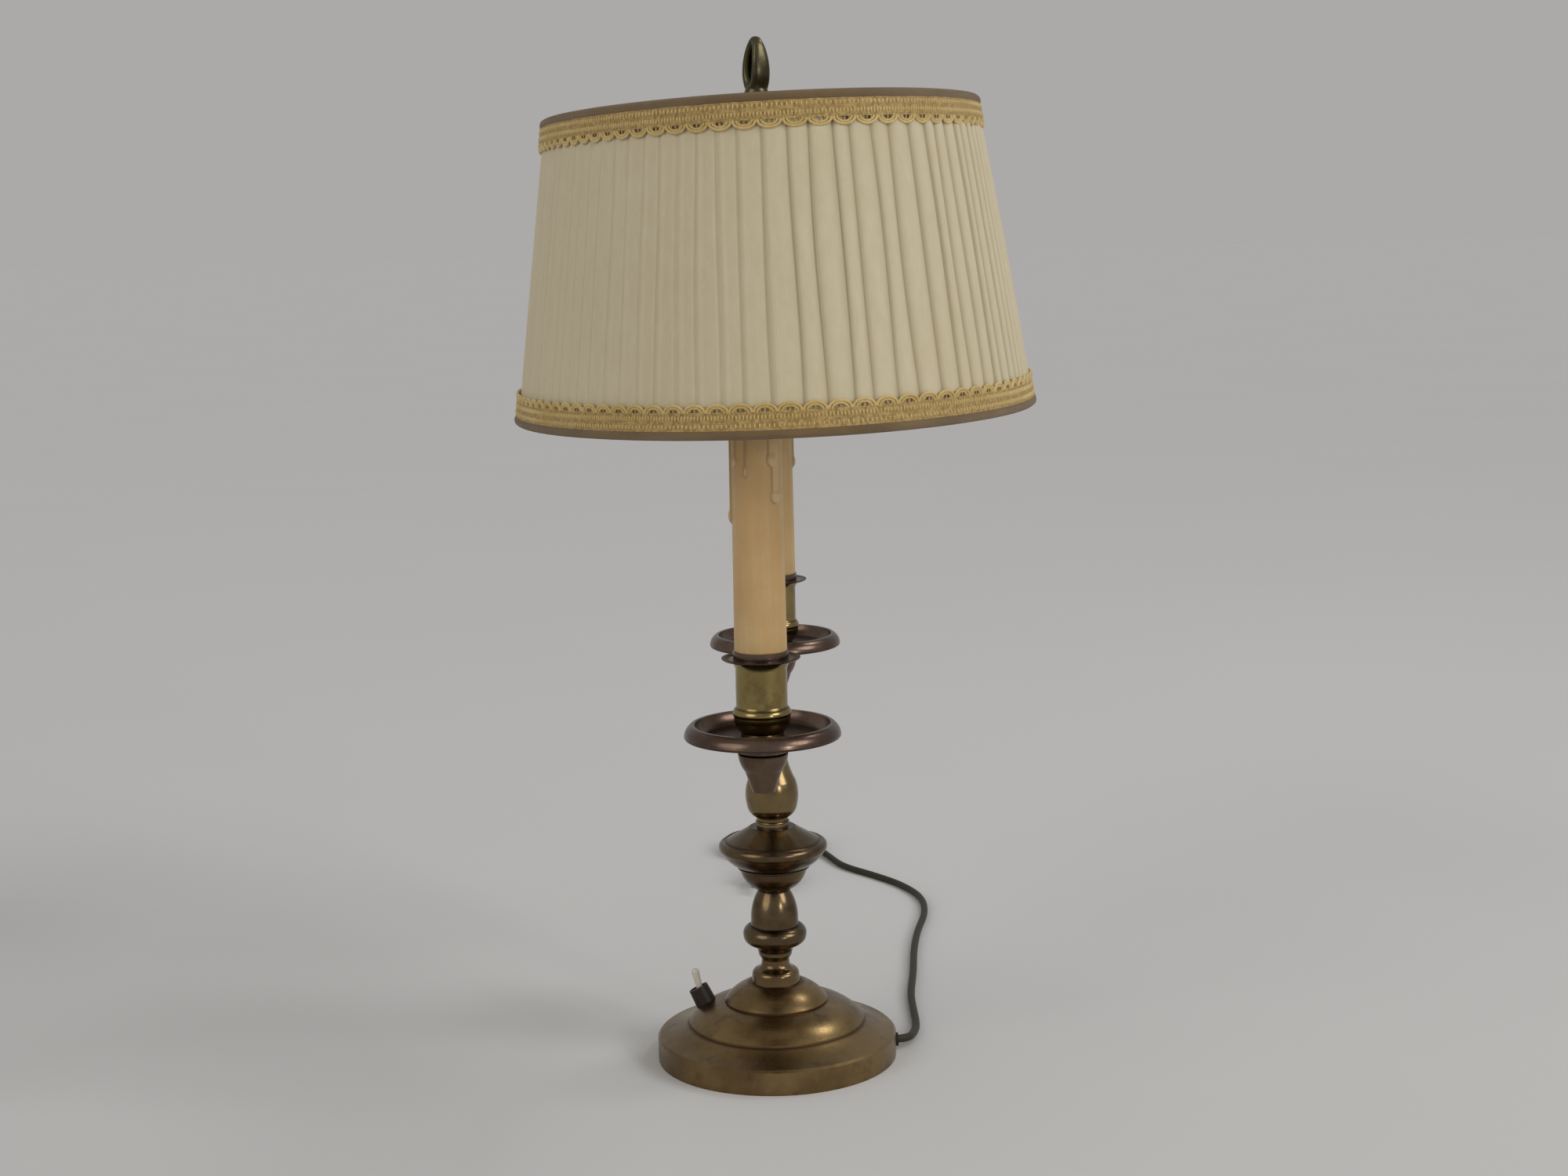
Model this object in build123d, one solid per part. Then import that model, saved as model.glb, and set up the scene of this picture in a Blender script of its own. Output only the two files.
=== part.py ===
from build123d import *
import math
import os

os.makedirs("parts", exist_ok=True)

# Millimetres. The origin is under the middle of the base, on the table, with +Z up.
# The two arms lie along Y: the front one towards -Y, the back one towards +Y.

# Shared by every cut and every fit
OVERRUN = 2.0
RUNNING_CLEARANCE = 0.05
SEAT_GAP = 0.1
ROUND = 360.0

# Base: a spun shell with an upright band, a cove, a dome and a cap
BAND_RADIUS = 62.8
BAND_HEIGHT = 13.1
BAND_EDGE = 1.2
DOME_RADIUS = 46.1
DOME_FOOT_Z = 18.9
DOME_STEP = 1.5
CAP_RADIUS = 27.1
CAP_FOOT_Z = 30.0
CAP_STEP = 1.0
BASE_TOP_Z = 40.4
SHELL_WALL = 1.4
BASE_SEAT_RADIUS = 13.6

# What lies under and inside the base
FELT_THICKNESS = 1.4
FELT_RADIUS = 60.6
WEIGHT_RECESS_RADIUS = 12.5
WEIGHT_RADIUS = 52.0
WEIGHT_HEIGHT = 6.5
WEIGHT_CHAMFER = 1.2
PIPE_RADIUS = 4.9
PIPE_BORE_RADIUS = 3.7
PIPE_FIT = 0.1
NUT_ACROSS_FLATS = 14.0
NUT_HEIGHT = 3.0
WASHER_RADIUS = 10.0
WASHER_THICKNESS = 1.5

# Stem: turned pieces threaded on the pipe, from the base up
FOOT_RADIUS = 12.75
FOOT_HEIGHT = 16.8
KNOB_RADIUS = 16.6
KNOB_HEIGHT = 13.8
ACORN_RADIUS = 12.6
ACORN_HEIGHT = 19.6
BOWL_RADIUS = 19.0
BOWL_HEIGHT = 12.9
DISC_RADIUS = 28.3
DISC_HEIGHT = 20.6
WAIST_RADIUS = 9.0
WAIST_HEIGHT = 5.4
VASE_RADIUS = 13.8
VASE_HEIGHT = 34.0
HUB_RADIUS = 11.4
HUB_HEIGHT = 23.0
HUB_CAP_RADIUS = 6.6
HUB_CAP_HEIGHT = 10.0

# Outlines of the turned pieces as shares of their radius and height, from the bottom up.
# Two numbers are the end of a straight line, four are an arc's middle point and its end.
FOOT_SHARES = [(1.0, 0.0), (0.97, 0.24), (0.93, 0.34, 0.78, 0.42), (0.61, 0.52, 0.575, 0.64),
               (0.58, 0.74, 0.64, 0.82), (0.68, 0.88), (0.70, 1.0)]
KNOB_SHARES = [(0.55, 0.0), (0.62, 0.16, 0.78, 0.26), (0.96, 0.44, 1.0, 0.62),
               (0.98, 0.82, 0.86, 0.97), (0.80, 1.0)]
ACORN_SHARES = [(1.0, 0.0), (0.98, 0.16), (0.90, 0.60, 0.64, 0.98), (0.62, 1.0)]
BOWL_SHARES = [(0.42, 0.0), (0.50, 0.03, 0.60, 0.11), (0.83, 0.48, 0.92, 0.88),
               (0.99, 0.90, 1.0, 0.95), (0.97, 1.0)]
DISC_SHARES = [(0.68, 0.0), (0.84, 0.16, 0.955, 0.36), (1.0, 0.46, 0.98, 0.58),
               (0.94, 0.615), (0.91, 0.60, 0.875, 0.635), (0.62, 0.83, 0.42, 1.0)]
WAIST_SHARES = [(0.92, 0.0), (0.89, 0.42), (0.98, 0.5, 0.89, 0.60), (0.93, 1.0)]
VASE_SHARES = [(0.64, 0.0), (0.86, 0.08, 0.95, 0.18), (1.0, 0.36, 0.91, 0.56),
               (0.70, 0.76, 0.57, 0.97), (0.57, 1.0)]
HUB_SHARES = [(0.66, 0.0), (0.84, 0.08, 1.0, 0.20), (1.0, 0.80), (0.84, 0.92, 0.66, 1.0)]
HUB_CAP_SHARES = [(1.0, 0.0), (1.0, 0.25), (0.92, 0.62, 0.62, 1.0)]

# Arms: bent tubes that end upright under the cups
ARM_REACH = 121.7
ARM_RADIUS = 4.8
ARM_BORE_RADIUS = 3.4
ARM_SOCKET_DEPTH = 3.2
ARM_HUB_RISE = 11.5
ARM_END_Z = 178.0
ARM_ELBOW_RADIUS = 8.0
ARM_SAG = 5.4
ARM_BEND_RADIUS = 52.0
ARM_BEND_SHARES = (0.24, 0.50, 0.78)
ARM_THREAD_TOP_Z = 250.0

# What is stacked on each arm's upright end
CONE_RADIUS = 11.8
CONE_FOOT_RADIUS = 5.3
CONE_FOOT_Z = 172.0
CONE_TOP_Z = 190.4
CONE_BAND_SHARE = 0.46
CONE_BAND_RADIUS_SHARE = 0.74
PAN_BOSS_RADIUS = 12.2
PAN_BOSS_HEIGHT = 6.4
PAN_RADIUS = 36.8
PAN_LIP_Z = 198.2
PAN_CREST_RADIUS = 32.6
PAN_CREST_Z = 204.7
PAN_FLOOR_RADIUS = 29.4
PAN_FLOOR_Z = 198.6
PAN_WALL = 1.5
CUP_RADIUS = 13.5
CUP_TOP_Z = 234.6
CUP_BORE_RADIUS = 10.9
CUP_FLOOR = 7.4
CUP_SHARES = [(0.76, 0.0), (0.73, 0.05), (0.90, 0.13, 0.985, 0.27), (1.0, 0.345, 0.93, 0.38),
              (0.895, 0.41), (0.895, 0.90), (0.95, 0.95, 1.03, 1.0)]
LIP_RADIUS = 18.4
LIP_THICKNESS = 1.5
LIP_DISH = 1.1
LIP_COLLAR_RADIUS = 13.0
LIP_COLLAR_HEIGHT = 3.1
ARM_NUT_ACROSS_FLATS = 14.0
ARM_NUT_HEIGHT = 2.6

# Candle sleeves, lampholders and bulbs
CANDLE_FOOT_RADIUS = 12.3
CANDLE_TOP_RADIUS = 11.6
CANDLE_WALL = 1.1
CANDLE_HEIGHT = 107.0
DRIP_RADIUS = 1.35
DRIP_STAND = 0.45
DRIP_END_RADIUS = 2.0
DRIP_ANGLES = (-45.0, -28.0, -113.0, 40.0, 96.0, 147.0, 205.0)
DRIP_LENGTH_SHARES = (0.34, 0.07, 0.24, 0.16, 0.12, 0.44, 0.20)
HOLDER_SOCKET_RADIUS = 7.0
HOLDER_SOCKET_DEPTH = 9.0
HOLDER_NECK_RADIUS = 5.6
HOLDER_BODY_RADIUS = 9.6
HOLDER_BODY_HEIGHT = 56.0
HOLDER_BORE_DEPTH = 27.0
HOLDER_TOP_BELOW = 1.0
BULB_CAP_RADIUS = 6.95
BULB_CAP_LENGTH = 18.0
BULB_CONTACT_RADIUS = 4.2
BULB_CONTACT_LENGTH = 5.0
BULB_CONTACT_GAP = 0.3
BULB_CAP_PROUD = 2.2
BULB_RADIUS = 17.5
BULB_LENGTH = 76.0
BULB_SHARES = [(0.48, 0.0), (0.53, 0.06), (0.90, 0.22, 1.0, 0.40), (0.90, 0.64, 0.42, 0.88),
               (0.22, 0.955, 0.12, 1.0)]

# Shade: an oval pleated cone that stands a little turned from the arms and hangs a little askew
SHADE_TOP_Z = 490.7
SHADE_HEIGHT = 149.2
SHADE_TOP_SHORT = 105.2
SHADE_TOP_LONG = 161.1
SHADE_FLARE = 22.5
SHADE_REST_TURN = 9.3
SHADE_NOD = -0.51
SHADE_LEAN = -1.71
PLEAT_COUNT = 92
PLEAT_DEPTH = 1.9
FABRIC_WALL = 0.8
TAPE_HEIGHT = 4.2
TAPE_THICKNESS = 1.1
GIMP_HEIGHT = 11.5
GIMP_THICKNESS = 1.3
TRIM_GAP = 0.05
FRAME_WIRE_RADIUS = 1.3
FRAME_GAP = 0.15
STRUT_COUNT = 8
STRUT_FIRST_ANGLE = 22.5
RING_ARC_COUNT = 16
SPIDER_DROP = 4.3
SPIDER_WASHER_RADIUS = 14.0
SPIDER_WASHER_THICKNESS = 1.8

# Rod, seat nut and ring finial that hold the shade
ROD_RADIUS = 3.0
ROD_SEAT_DEPTH = 5.0
ROD_THREAD_LENGTH = 13.0
SEAT_NUT_RADIUS = 7.5
SEAT_NUT_HEIGHT = 6.0
FINIAL_WASHER_RADIUS = 8.0
FINIAL_WASHER_THICKNESS = 1.0
FINIAL_HEIGHT = 37.6
FINIAL_SHANK_RADIUS = 6.0
FINIAL_SHANK_HEIGHT = 14.5
FINIAL_FOOT_RADIUS = 6.7
FINIAL_FOOT_HEIGHT = 2.6
FINIAL_WIDTH = 19.0
FINIAL_RING_HEIGHT = 34.0
FINIAL_DEPTH = 8.6
FINIAL_EDGE = 2.4
FINIAL_EYE_WIDTH = 8.6
FINIAL_EYE_HEIGHT = 15.6
FINIAL_EYE_BOTTOM = 12.6
FINIAL_TIP_RADIUS = 2.9
FINIAL_BORE_DEPTH = 11.4
FINIAL_TURN = -153.0

# Switch on the dome
SWITCH_AZIMUTH = 168.0
SWITCH_SEAT_RADIUS = 38.6
SWITCH_SEAT_Z = 26.4
SWITCH_TILT = 27.0
SWITCH_COLLAR_RADIUS = 5.2
SWITCH_COLLAR_FOOT_RADIUS = 5.6
SWITCH_COLLAR_HEIGHT = 8.9
SWITCH_SINK = 0.7
SWITCH_SHANK_RADIUS = 4.2
SWITCH_BODY_RADIUS = 6.2
SWITCH_BODY_LENGTH = 9.0
LEVER_PIVOT_HEIGHT = 5.6
LEVER_PIN_RADIUS = 0.7
LEVER_PIN_LENGTH = 7.4
LEVER_FOOT_RADIUS = 1.5
LEVER_TIP_RADIUS = 2.1
LEVER_LENGTH = 13.6
LEVER_THROW = 13.0
LEVER_SLOT_WIDTH = 4.6
LEVER_SLOT_LENGTH = 8.4

# Mains cord. Its points are places on the table, seen from the lamp, and are chosen by hand.
CORD_DIAMETER = 4.2
CORD_RADIUS = CORD_DIAMETER / 2
CORD_EXIT_AZIMUTH = 5.0
CORD_EXIT_Z = 5.2
CORD_COLLAR_RADIUS = 3.6
CORD_COLLAR_PROUD = 1.4
CORD_COLLAR_SHANK_RADIUS = 3.0
CORD_INSIDE_LENGTH = 5.0
CORD_STEP_PAST_COLLAR = 6.0
CORD_ROUTE = [(72.8, 20.6, 3.0), (75.0, 37.0, 2.1), (74.0, 62.0, 2.1), (73.2, 91.0, 2.1),
              (76.2, 130.0, 2.1), (77.6, 171.0, 2.1), (81.2, 212.0, 2.1), (87.6, 249.0, 2.1),
              (87.0, 284.0, 2.1), (75.4, 314.0, 2.1), (57.0, 339.0, 2.1), (36.0, 362.0, 2.2)]
CORD_BEND_SHARE = 0.45
COIL_CENTRE = (-13.0, 413.0)
COIL_INNER_RADIUS = 17.6
COIL_PITCH = 4.7
COIL_LIFT = 0.8
COIL_LAYER_RISE = 4.7
COIL_TURNS_DOWN = 3.0
COIL_TURNS_CLIMB = 0.5
COIL_TURNS_UP = 3.16
COIL_CLIMB_DIP = 1.6
TIE_WALL = 0.6
TIE_WIDTH = 5.0
TIE_GAP = 0.15
TIE_ANGLE = 300.0
PLUG_LENGTH = 35.3
PLUG_WIDTH = 26.0
PLUG_WAIST = 15.0
PLUG_THICKNESS = 13.7
PLUG_TAIL_RADIUS = 4.6
PLUG_EDGE = 2.0
PIN_RADIUS = 2.0
PIN_LENGTH = 19.0
PIN_SPACING = 18.6
PIN_SEAT = 4.0
TAIL_BENDS = 3
TAIL_STEP = 8.7


def polar(radius, degrees):
    """The X and Y of a point at a radius and an azimuth about Z."""
    return radius * math.cos(math.radians(degrees)), radius * math.sin(math.radians(degrees))


def outline_edges(points, radius, height, base):
    """Edges through an outline that is written in shares of a radius and a height."""
    at = lambda r, z: (r * radius, 0, base + z * height)
    edges, here = [], at(*points[0])
    for point in points[1:]:
        end = at(*point[-2:])
        edges.append(Line(here, end) if len(point) == 2 else ThreePointArc(here, at(*point[:2]), end))
        here = end
    return edges, at(*points[0]), here


def turned(radius, height, base, shares, bore=0.0):
    """A turned piece about Z: its outline in shares, with a bore right through."""
    edges, foot, head = outline_edges(shares, radius, height, base)
    closing = [Line(head, (0, 0, head[2])), Line((0, 0, head[2]), (0, 0, foot[2])), Line((0, 0, foot[2]), foot)]
    body = revolve(make_face(edges + closing), Axis.Z, ROUND)
    return body - upright(bore, base - OVERRUN, base + height + OVERRUN) if bore else body


def upright(radius, low, high, centre=(0, 0)):
    """A cylinder about a vertical axis between two heights."""
    x, y = centre
    return Pos(x, y, (low + high) / 2) * Cylinder(radius, high - low)


def tube(outer, inner, low, high, centre=(0, 0)):
    return upright(outer, low, high, centre) - upright(inner, low - OVERRUN, high + OVERRUN, centre)


def hex_nut(across_flats, height, low, bore, centre=(0, 0)):
    x, y = centre
    blank = Pos(x, y, low) * extrude(RegularPolygon(across_flats / 2, 6, major_radius=False), height)
    return blank - upright(bore, low - OVERRUN, low + height + OVERRUN, centre)


def biarc(start, leave, end, arrive):
    """Two arcs that meet smoothly, from start along leave to end along arrive."""
    start, end = Vector(*start), Vector(*end)
    leave, arrive = Vector(*leave).normalized(), Vector(*arrive).normalized()
    across, both = end - start, leave + arrive
    turn = 2 * (1 - leave.dot(arrive))
    along = across.dot(both)
    if turn < 1e-9:
        reach = across.dot(across) / (2 * along)
    else:
        reach = (math.sqrt(along ** 2 + turn * across.dot(across)) - along) / turn
    first, second = start + leave * reach, end - arrive * reach
    middle = (first + second) / 2
    return [TangentArc(start, middle, tangent=leave), TangentArc(middle, end, tangent=second - first)]


def ring_at(radius, plane_at, direction):
    """A filled circle across a path."""
    return Plane(origin=plane_at, z_dir=direction) * Circle(radius)


def make_base_shell():
    """Spun brass: the outline runs from the band's foot up to the stem's seat."""
    def outline(inset):
        band, cove, dome, cap = (r - inset for r in (BAND_RADIUS, DOME_RADIUS, DOME_RADIUS, CAP_RADIUS))
        band_z, cove_z, dome_z = BAND_HEIGHT - inset, DOME_FOOT_Z - inset, DOME_FOOT_Z + DOME_STEP - inset
        cap_z, step_z, top_z = CAP_FOOT_Z - inset, CAP_FOOT_Z + CAP_STEP - inset, BASE_TOP_Z - inset
        foot_z = -OVERRUN if inset else 0
        seat = BASE_SEAT_RADIUS
        dome_mid = ((dome + cap) / 2 + DOME_STEP, (dome_z + cap_z) / 2 + DOME_STEP)
        cap_mid = ((cap + seat) / 2 + CAP_STEP, (step_z + top_z) / 2 + CAP_STEP)
        cove_mid = ((band + cove) / 2 - BAND_EDGE, (band_z + cove_z) / 2 - BAND_EDGE / 2)
        edges = [
            Line((0, 0, foot_z), (band, 0, foot_z)),
            Line((band, 0, foot_z), (band, 0, band_z - BAND_EDGE)),
            Line((band, 0, band_z - BAND_EDGE), (band - BAND_EDGE, 0, band_z)),
            ThreePointArc((band - BAND_EDGE, 0, band_z), (cove_mid[0], 0, cove_mid[1]), (cove, 0, cove_z)),
            Line((cove, 0, cove_z), (dome, 0, dome_z)),
            ThreePointArc((dome, 0, dome_z), (dome_mid[0], 0, dome_mid[1]), (cap, 0, cap_z)),
            Line((cap, 0, cap_z), (cap, 0, step_z)),
            ThreePointArc((cap, 0, step_z), (cap_mid[0], 0, cap_mid[1]), (seat, 0, top_z)),
            Line((seat, 0, top_z), (0, 0, top_z)),
            Line((0, 0, top_z), (0, 0, foot_z)),
        ]
        return revolve(make_face(edges), Axis.Z, ROUND)

    shell = outline(0) - outline(SHELL_WALL)
    shell -= upright(PIPE_RADIUS + PIPE_FIT, BASE_TOP_Z - 2 * OVERRUN, BASE_TOP_Z + OVERRUN)
    shell -= switch_place() * upright(SWITCH_SHANK_RADIUS, -SWITCH_BODY_LENGTH, SWITCH_BODY_LENGTH)
    shell -= switch_place() * upright(SWITCH_COLLAR_FOOT_RADIUS + PIPE_FIT, -SWITCH_SINK, SWITCH_BODY_LENGTH)
    shell -= exit_place() * upright(CORD_COLLAR_SHANK_RADIUS, -2 * SHELL_WALL, OVERRUN)
    return shell


def make_base_felt():
    return upright(FELT_RADIUS, 0, FELT_THICKNESS)


def make_base_weight():
    low = FELT_THICKNESS
    weight = tube(WEIGHT_RADIUS, PIPE_RADIUS + PIPE_FIT, low, low + WEIGHT_HEIGHT)
    weight = chamfer(weight.edges().group_by(Axis.Z)[-1].sort_by(SortBy.RADIUS)[-1], WEIGHT_CHAMFER)
    recess = upright(WEIGHT_RECESS_RADIUS, low - OVERRUN, weight_recess_z())
    return weight - recess


def weight_recess_z():
    """The nut and its washer stay above the felt, in a recess of the weight."""
    return FELT_THICKNESS + WEIGHT_HEIGHT / 2 + NUT_HEIGHT / 2


def make_pipe_washer():
    top = weight_recess_z()
    return tube(WASHER_RADIUS, PIPE_RADIUS + PIPE_FIT, top - WASHER_THICKNESS, top)


def make_pipe_nuts():
    """Under the weight, on the weight, and under the top of the shell."""
    lows = (weight_recess_z() - WASHER_THICKNESS - NUT_HEIGHT, FELT_THICKNESS + WEIGHT_HEIGHT,
            BASE_TOP_Z - SHELL_WALL - NUT_HEIGHT)
    return [hex_nut(NUT_ACROSS_FLATS, NUT_HEIGHT, low, PIPE_RADIUS) for low in lows]


def stem_levels():
    """The height at which each turned piece starts, and where the last one ends."""
    level, levels = BASE_TOP_Z, []
    for height in (FOOT_HEIGHT, KNOB_HEIGHT, ACORN_HEIGHT, BOWL_HEIGHT, DISC_HEIGHT, WAIST_HEIGHT,
                   VASE_HEIGHT, HUB_HEIGHT, HUB_CAP_HEIGHT):
        levels.append(level)
        level += height
    return levels + [level]


def make_stem():
    """The turned pieces, each bored for the pipe that clamps them."""
    levels, bore = stem_levels(), PIPE_RADIUS + PIPE_FIT
    return {
        "stem_foot": turned(FOOT_RADIUS, FOOT_HEIGHT, levels[0], FOOT_SHARES, bore),
        "stem_knob": turned(KNOB_RADIUS, KNOB_HEIGHT, levels[1], KNOB_SHARES, bore),
        "stem_acorn": turned(ACORN_RADIUS, ACORN_HEIGHT, levels[2], ACORN_SHARES, bore),
        "stem_bowl": turned(BOWL_RADIUS, BOWL_HEIGHT, levels[3], BOWL_SHARES, bore),
        "stem_disc": turned(DISC_RADIUS, DISC_HEIGHT, levels[4], DISC_SHARES, bore),
        "stem_waist": turned(WAIST_RADIUS, WAIST_HEIGHT, levels[5], WAIST_SHARES, bore),
        "stem_vase": turned(VASE_RADIUS, VASE_HEIGHT, levels[6], VASE_SHARES, bore),
    }


def make_lamp_pipe():
    """The threaded pipe from the nut in the base to a third of the way up the hub."""
    low = weight_recess_z() - WASHER_THICKNESS - NUT_HEIGHT
    return tube(PIPE_RADIUS, PIPE_BORE_RADIUS, low, pipe_top_z())


def pipe_top_z():
    return stem_levels()[7] + HUB_HEIGHT / 3


def hub_arm_z():
    return stem_levels()[7] + ARM_HUB_RISE


def make_arm_hub():
    """Bored for the pipe below, the rod above and the two arms at the sides."""
    low, high = stem_levels()[7:9]
    hub = turned(HUB_RADIUS, HUB_HEIGHT, low, HUB_SHARES)
    hub -= upright(PIPE_RADIUS, low - OVERRUN, pipe_top_z())
    hub -= upright(PIPE_BORE_RADIUS, low, hub_arm_z())
    hub -= upright(ROD_RADIUS, high - ROD_SEAT_DEPTH, high + OVERRUN)
    socket = Rot(90, 0, 0) * Cylinder(ARM_RADIUS, ARM_SOCKET_DEPTH + OVERRUN)
    way = HUB_RADIUS - ARM_SOCKET_DEPTH + (ARM_SOCKET_DEPTH + OVERRUN) / 2
    hub -= [Pos(0, side * way, hub_arm_z()) * socket for side in (-1, 1)]
    return hub - Pos(0, 0, hub_arm_z()) * Rot(90, 0, 0) * Cylinder(ARM_BORE_RADIUS, 2 * HUB_RADIUS)


def make_hub_cap():
    low = stem_levels()[8]
    return turned(HUB_CAP_RADIUS, HUB_CAP_HEIGHT, low, HUB_CAP_SHARES, ROD_RADIUS)


def arm_path():
    """The front arm's middle line: out of the hub, a slight sag, and up through the elbow."""
    start = -(HUB_RADIUS - ARM_SOCKET_DEPTH)
    span = ARM_REACH + start
    first, middle, last = (start - share * span for share in ARM_BEND_SHARES)
    low = min(hub_arm_z(), ARM_END_Z) - ARM_SAG
    points = [(0, start, hub_arm_z()), (0, first, hub_arm_z()), (0, middle, low), (0, last, ARM_END_Z),
              (0, -ARM_REACH, ARM_END_Z), (0, -ARM_REACH, ARM_THREAD_TOP_Z)]
    return FilletPolyline(*points, radius=[ARM_BEND_RADIUS] * 3 + [ARM_ELBOW_RADIUS])


def arm_solid(radius):
    path = arm_path()
    return sweep(ring_at(radius, path @ 0, path % 0), path=path)


def make_arm():
    return arm_solid(ARM_RADIUS) - arm_solid(ARM_BORE_RADIUS)


def make_cone():
    """The cone that hides the elbow, cut away where the arm runs into it."""
    band_z = CONE_TOP_Z - CONE_BAND_SHARE * (CONE_TOP_Z - CONE_FOOT_Z)
    band = CONE_RADIUS * CONE_BAND_RADIUS_SHARE
    bulge = ((CONE_RADIUS + band) / 2 + DOME_STEP / 2, 0, (CONE_TOP_Z + band_z) / 2)
    edges = [
        Line((0, 0, CONE_FOOT_Z), (CONE_FOOT_RADIUS, 0, CONE_FOOT_Z)),
        Line((CONE_FOOT_RADIUS, 0, CONE_FOOT_Z), (band, 0, band_z)),
        ThreePointArc((band, 0, band_z), bulge, (CONE_RADIUS, 0, CONE_TOP_Z)),
        Line((CONE_RADIUS, 0, CONE_TOP_Z), (0, 0, CONE_TOP_Z)),
        Line((0, 0, CONE_TOP_Z), (0, 0, CONE_FOOT_Z)),
    ]
    cone = Pos(0, -ARM_REACH, 0) * revolve(make_face(edges), Axis.Z, ROUND)
    return cone - arm_solid(ARM_RADIUS)


def make_pan():
    """A spun dish: a boss on the cone, a sunk floor, a raised crest and a lip turned down."""
    boss_top = CONE_TOP_Z + PAN_BOSS_HEIGHT
    floor, crest, wall = PAN_FLOOR_Z, PAN_CREST_Z, PAN_WALL
    edges = [
        Line((0, 0, CONE_TOP_Z), (PAN_BOSS_RADIUS - wall, 0, CONE_TOP_Z)),
        ThreePointArc((PAN_BOSS_RADIUS - wall, 0, CONE_TOP_Z),
                      (PAN_BOSS_RADIUS, 0, CONE_TOP_Z + wall), (PAN_BOSS_RADIUS, 0, boss_top)),
        Line((PAN_BOSS_RADIUS, 0, boss_top), (PAN_FLOOR_RADIUS, 0, floor - wall)),
        Line((PAN_FLOOR_RADIUS, 0, floor - wall), (PAN_CREST_RADIUS, 0, crest - wall)),
        Line((PAN_CREST_RADIUS, 0, crest - wall), (PAN_RADIUS - wall, 0, PAN_LIP_Z)),
        ThreePointArc((PAN_RADIUS - wall, 0, PAN_LIP_Z), (PAN_RADIUS, 0, PAN_LIP_Z + wall / 2),
                      (PAN_RADIUS, 0, PAN_LIP_Z + wall)),
        ThreePointArc((PAN_RADIUS, 0, PAN_LIP_Z + wall),
                      ((PAN_RADIUS + PAN_CREST_RADIUS) / 2 + wall / 2, 0, (PAN_LIP_Z + crest) / 2 + wall),
                      (PAN_CREST_RADIUS + wall / 2, 0, crest)),
        Line((PAN_CREST_RADIUS + wall / 2, 0, crest), (PAN_CREST_RADIUS - wall / 2, 0, crest)),
        ThreePointArc((PAN_CREST_RADIUS - wall / 2, 0, crest),
                      ((PAN_CREST_RADIUS + PAN_FLOOR_RADIUS) / 2 - wall / 2, 0, (floor + crest) / 2 - wall / 2),
                      (PAN_FLOOR_RADIUS - wall, 0, floor)),
        Line((PAN_FLOOR_RADIUS - wall, 0, floor), (0, 0, floor)),
        Line((0, 0, floor), (0, 0, CONE_TOP_Z)),
    ]
    pan = Pos(0, -ARM_REACH, 0) * revolve(make_face(edges), Axis.Z, ROUND)
    return pan - upright(ARM_RADIUS, CONE_TOP_Z - OVERRUN, floor + OVERRUN, (0, -ARM_REACH))


def make_cup():
    height = CUP_TOP_Z - PAN_FLOOR_Z
    cup = turned(CUP_RADIUS, height, PAN_FLOOR_Z, CUP_SHARES, ARM_RADIUS)
    cup -= upright(CUP_BORE_RADIUS, PAN_FLOOR_Z + CUP_FLOOR, CUP_TOP_Z + OVERRUN)
    return Pos(0, -ARM_REACH, 0) * cup


def make_cup_lip():
    """A thin dished disc on the cup, with the low collar that the candle stands on."""
    low, high = CUP_TOP_Z, CUP_TOP_Z + LIP_THICKNESS
    outer = CUP_RADIUS + LIP_THICKNESS
    points = [(CUP_BORE_RADIUS, low), (outer, low), (LIP_RADIUS - LIP_THICKNESS / 2, low + LIP_DISH / 2),
              (LIP_RADIUS, low + LIP_DISH), (LIP_RADIUS, high), (LIP_RADIUS - LIP_THICKNESS, high),
              (outer, high - LIP_DISH / 2), (LIP_COLLAR_RADIUS, high - LIP_DISH / 2),
              (LIP_COLLAR_RADIUS, low + LIP_THICKNESS + LIP_COLLAR_HEIGHT),
              (CUP_BORE_RADIUS, low + LIP_THICKNESS + LIP_COLLAR_HEIGHT)]
    face = make_face(Polyline(*[(r, 0, z) for r, z in points], close=True))
    return Pos(0, -ARM_REACH, 0) * revolve(face, Axis.Z, ROUND)


def make_arm_nut():
    low = PAN_FLOOR_Z + CUP_FLOOR
    return hex_nut(ARM_NUT_ACROSS_FLATS, ARM_NUT_HEIGHT, low, ARM_RADIUS, (0, -ARM_REACH))


def candle_foot_z():
    return CUP_TOP_Z + LIP_THICKNESS + LIP_COLLAR_HEIGHT


def candle_top_z():
    return candle_foot_z() + CANDLE_HEIGHT


def candle_radius(z):
    share = (z - candle_foot_z()) / CANDLE_HEIGHT
    return CANDLE_FOOT_RADIUS + share * (CANDLE_TOP_RADIUS - CANDLE_FOOT_RADIUS)


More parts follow.
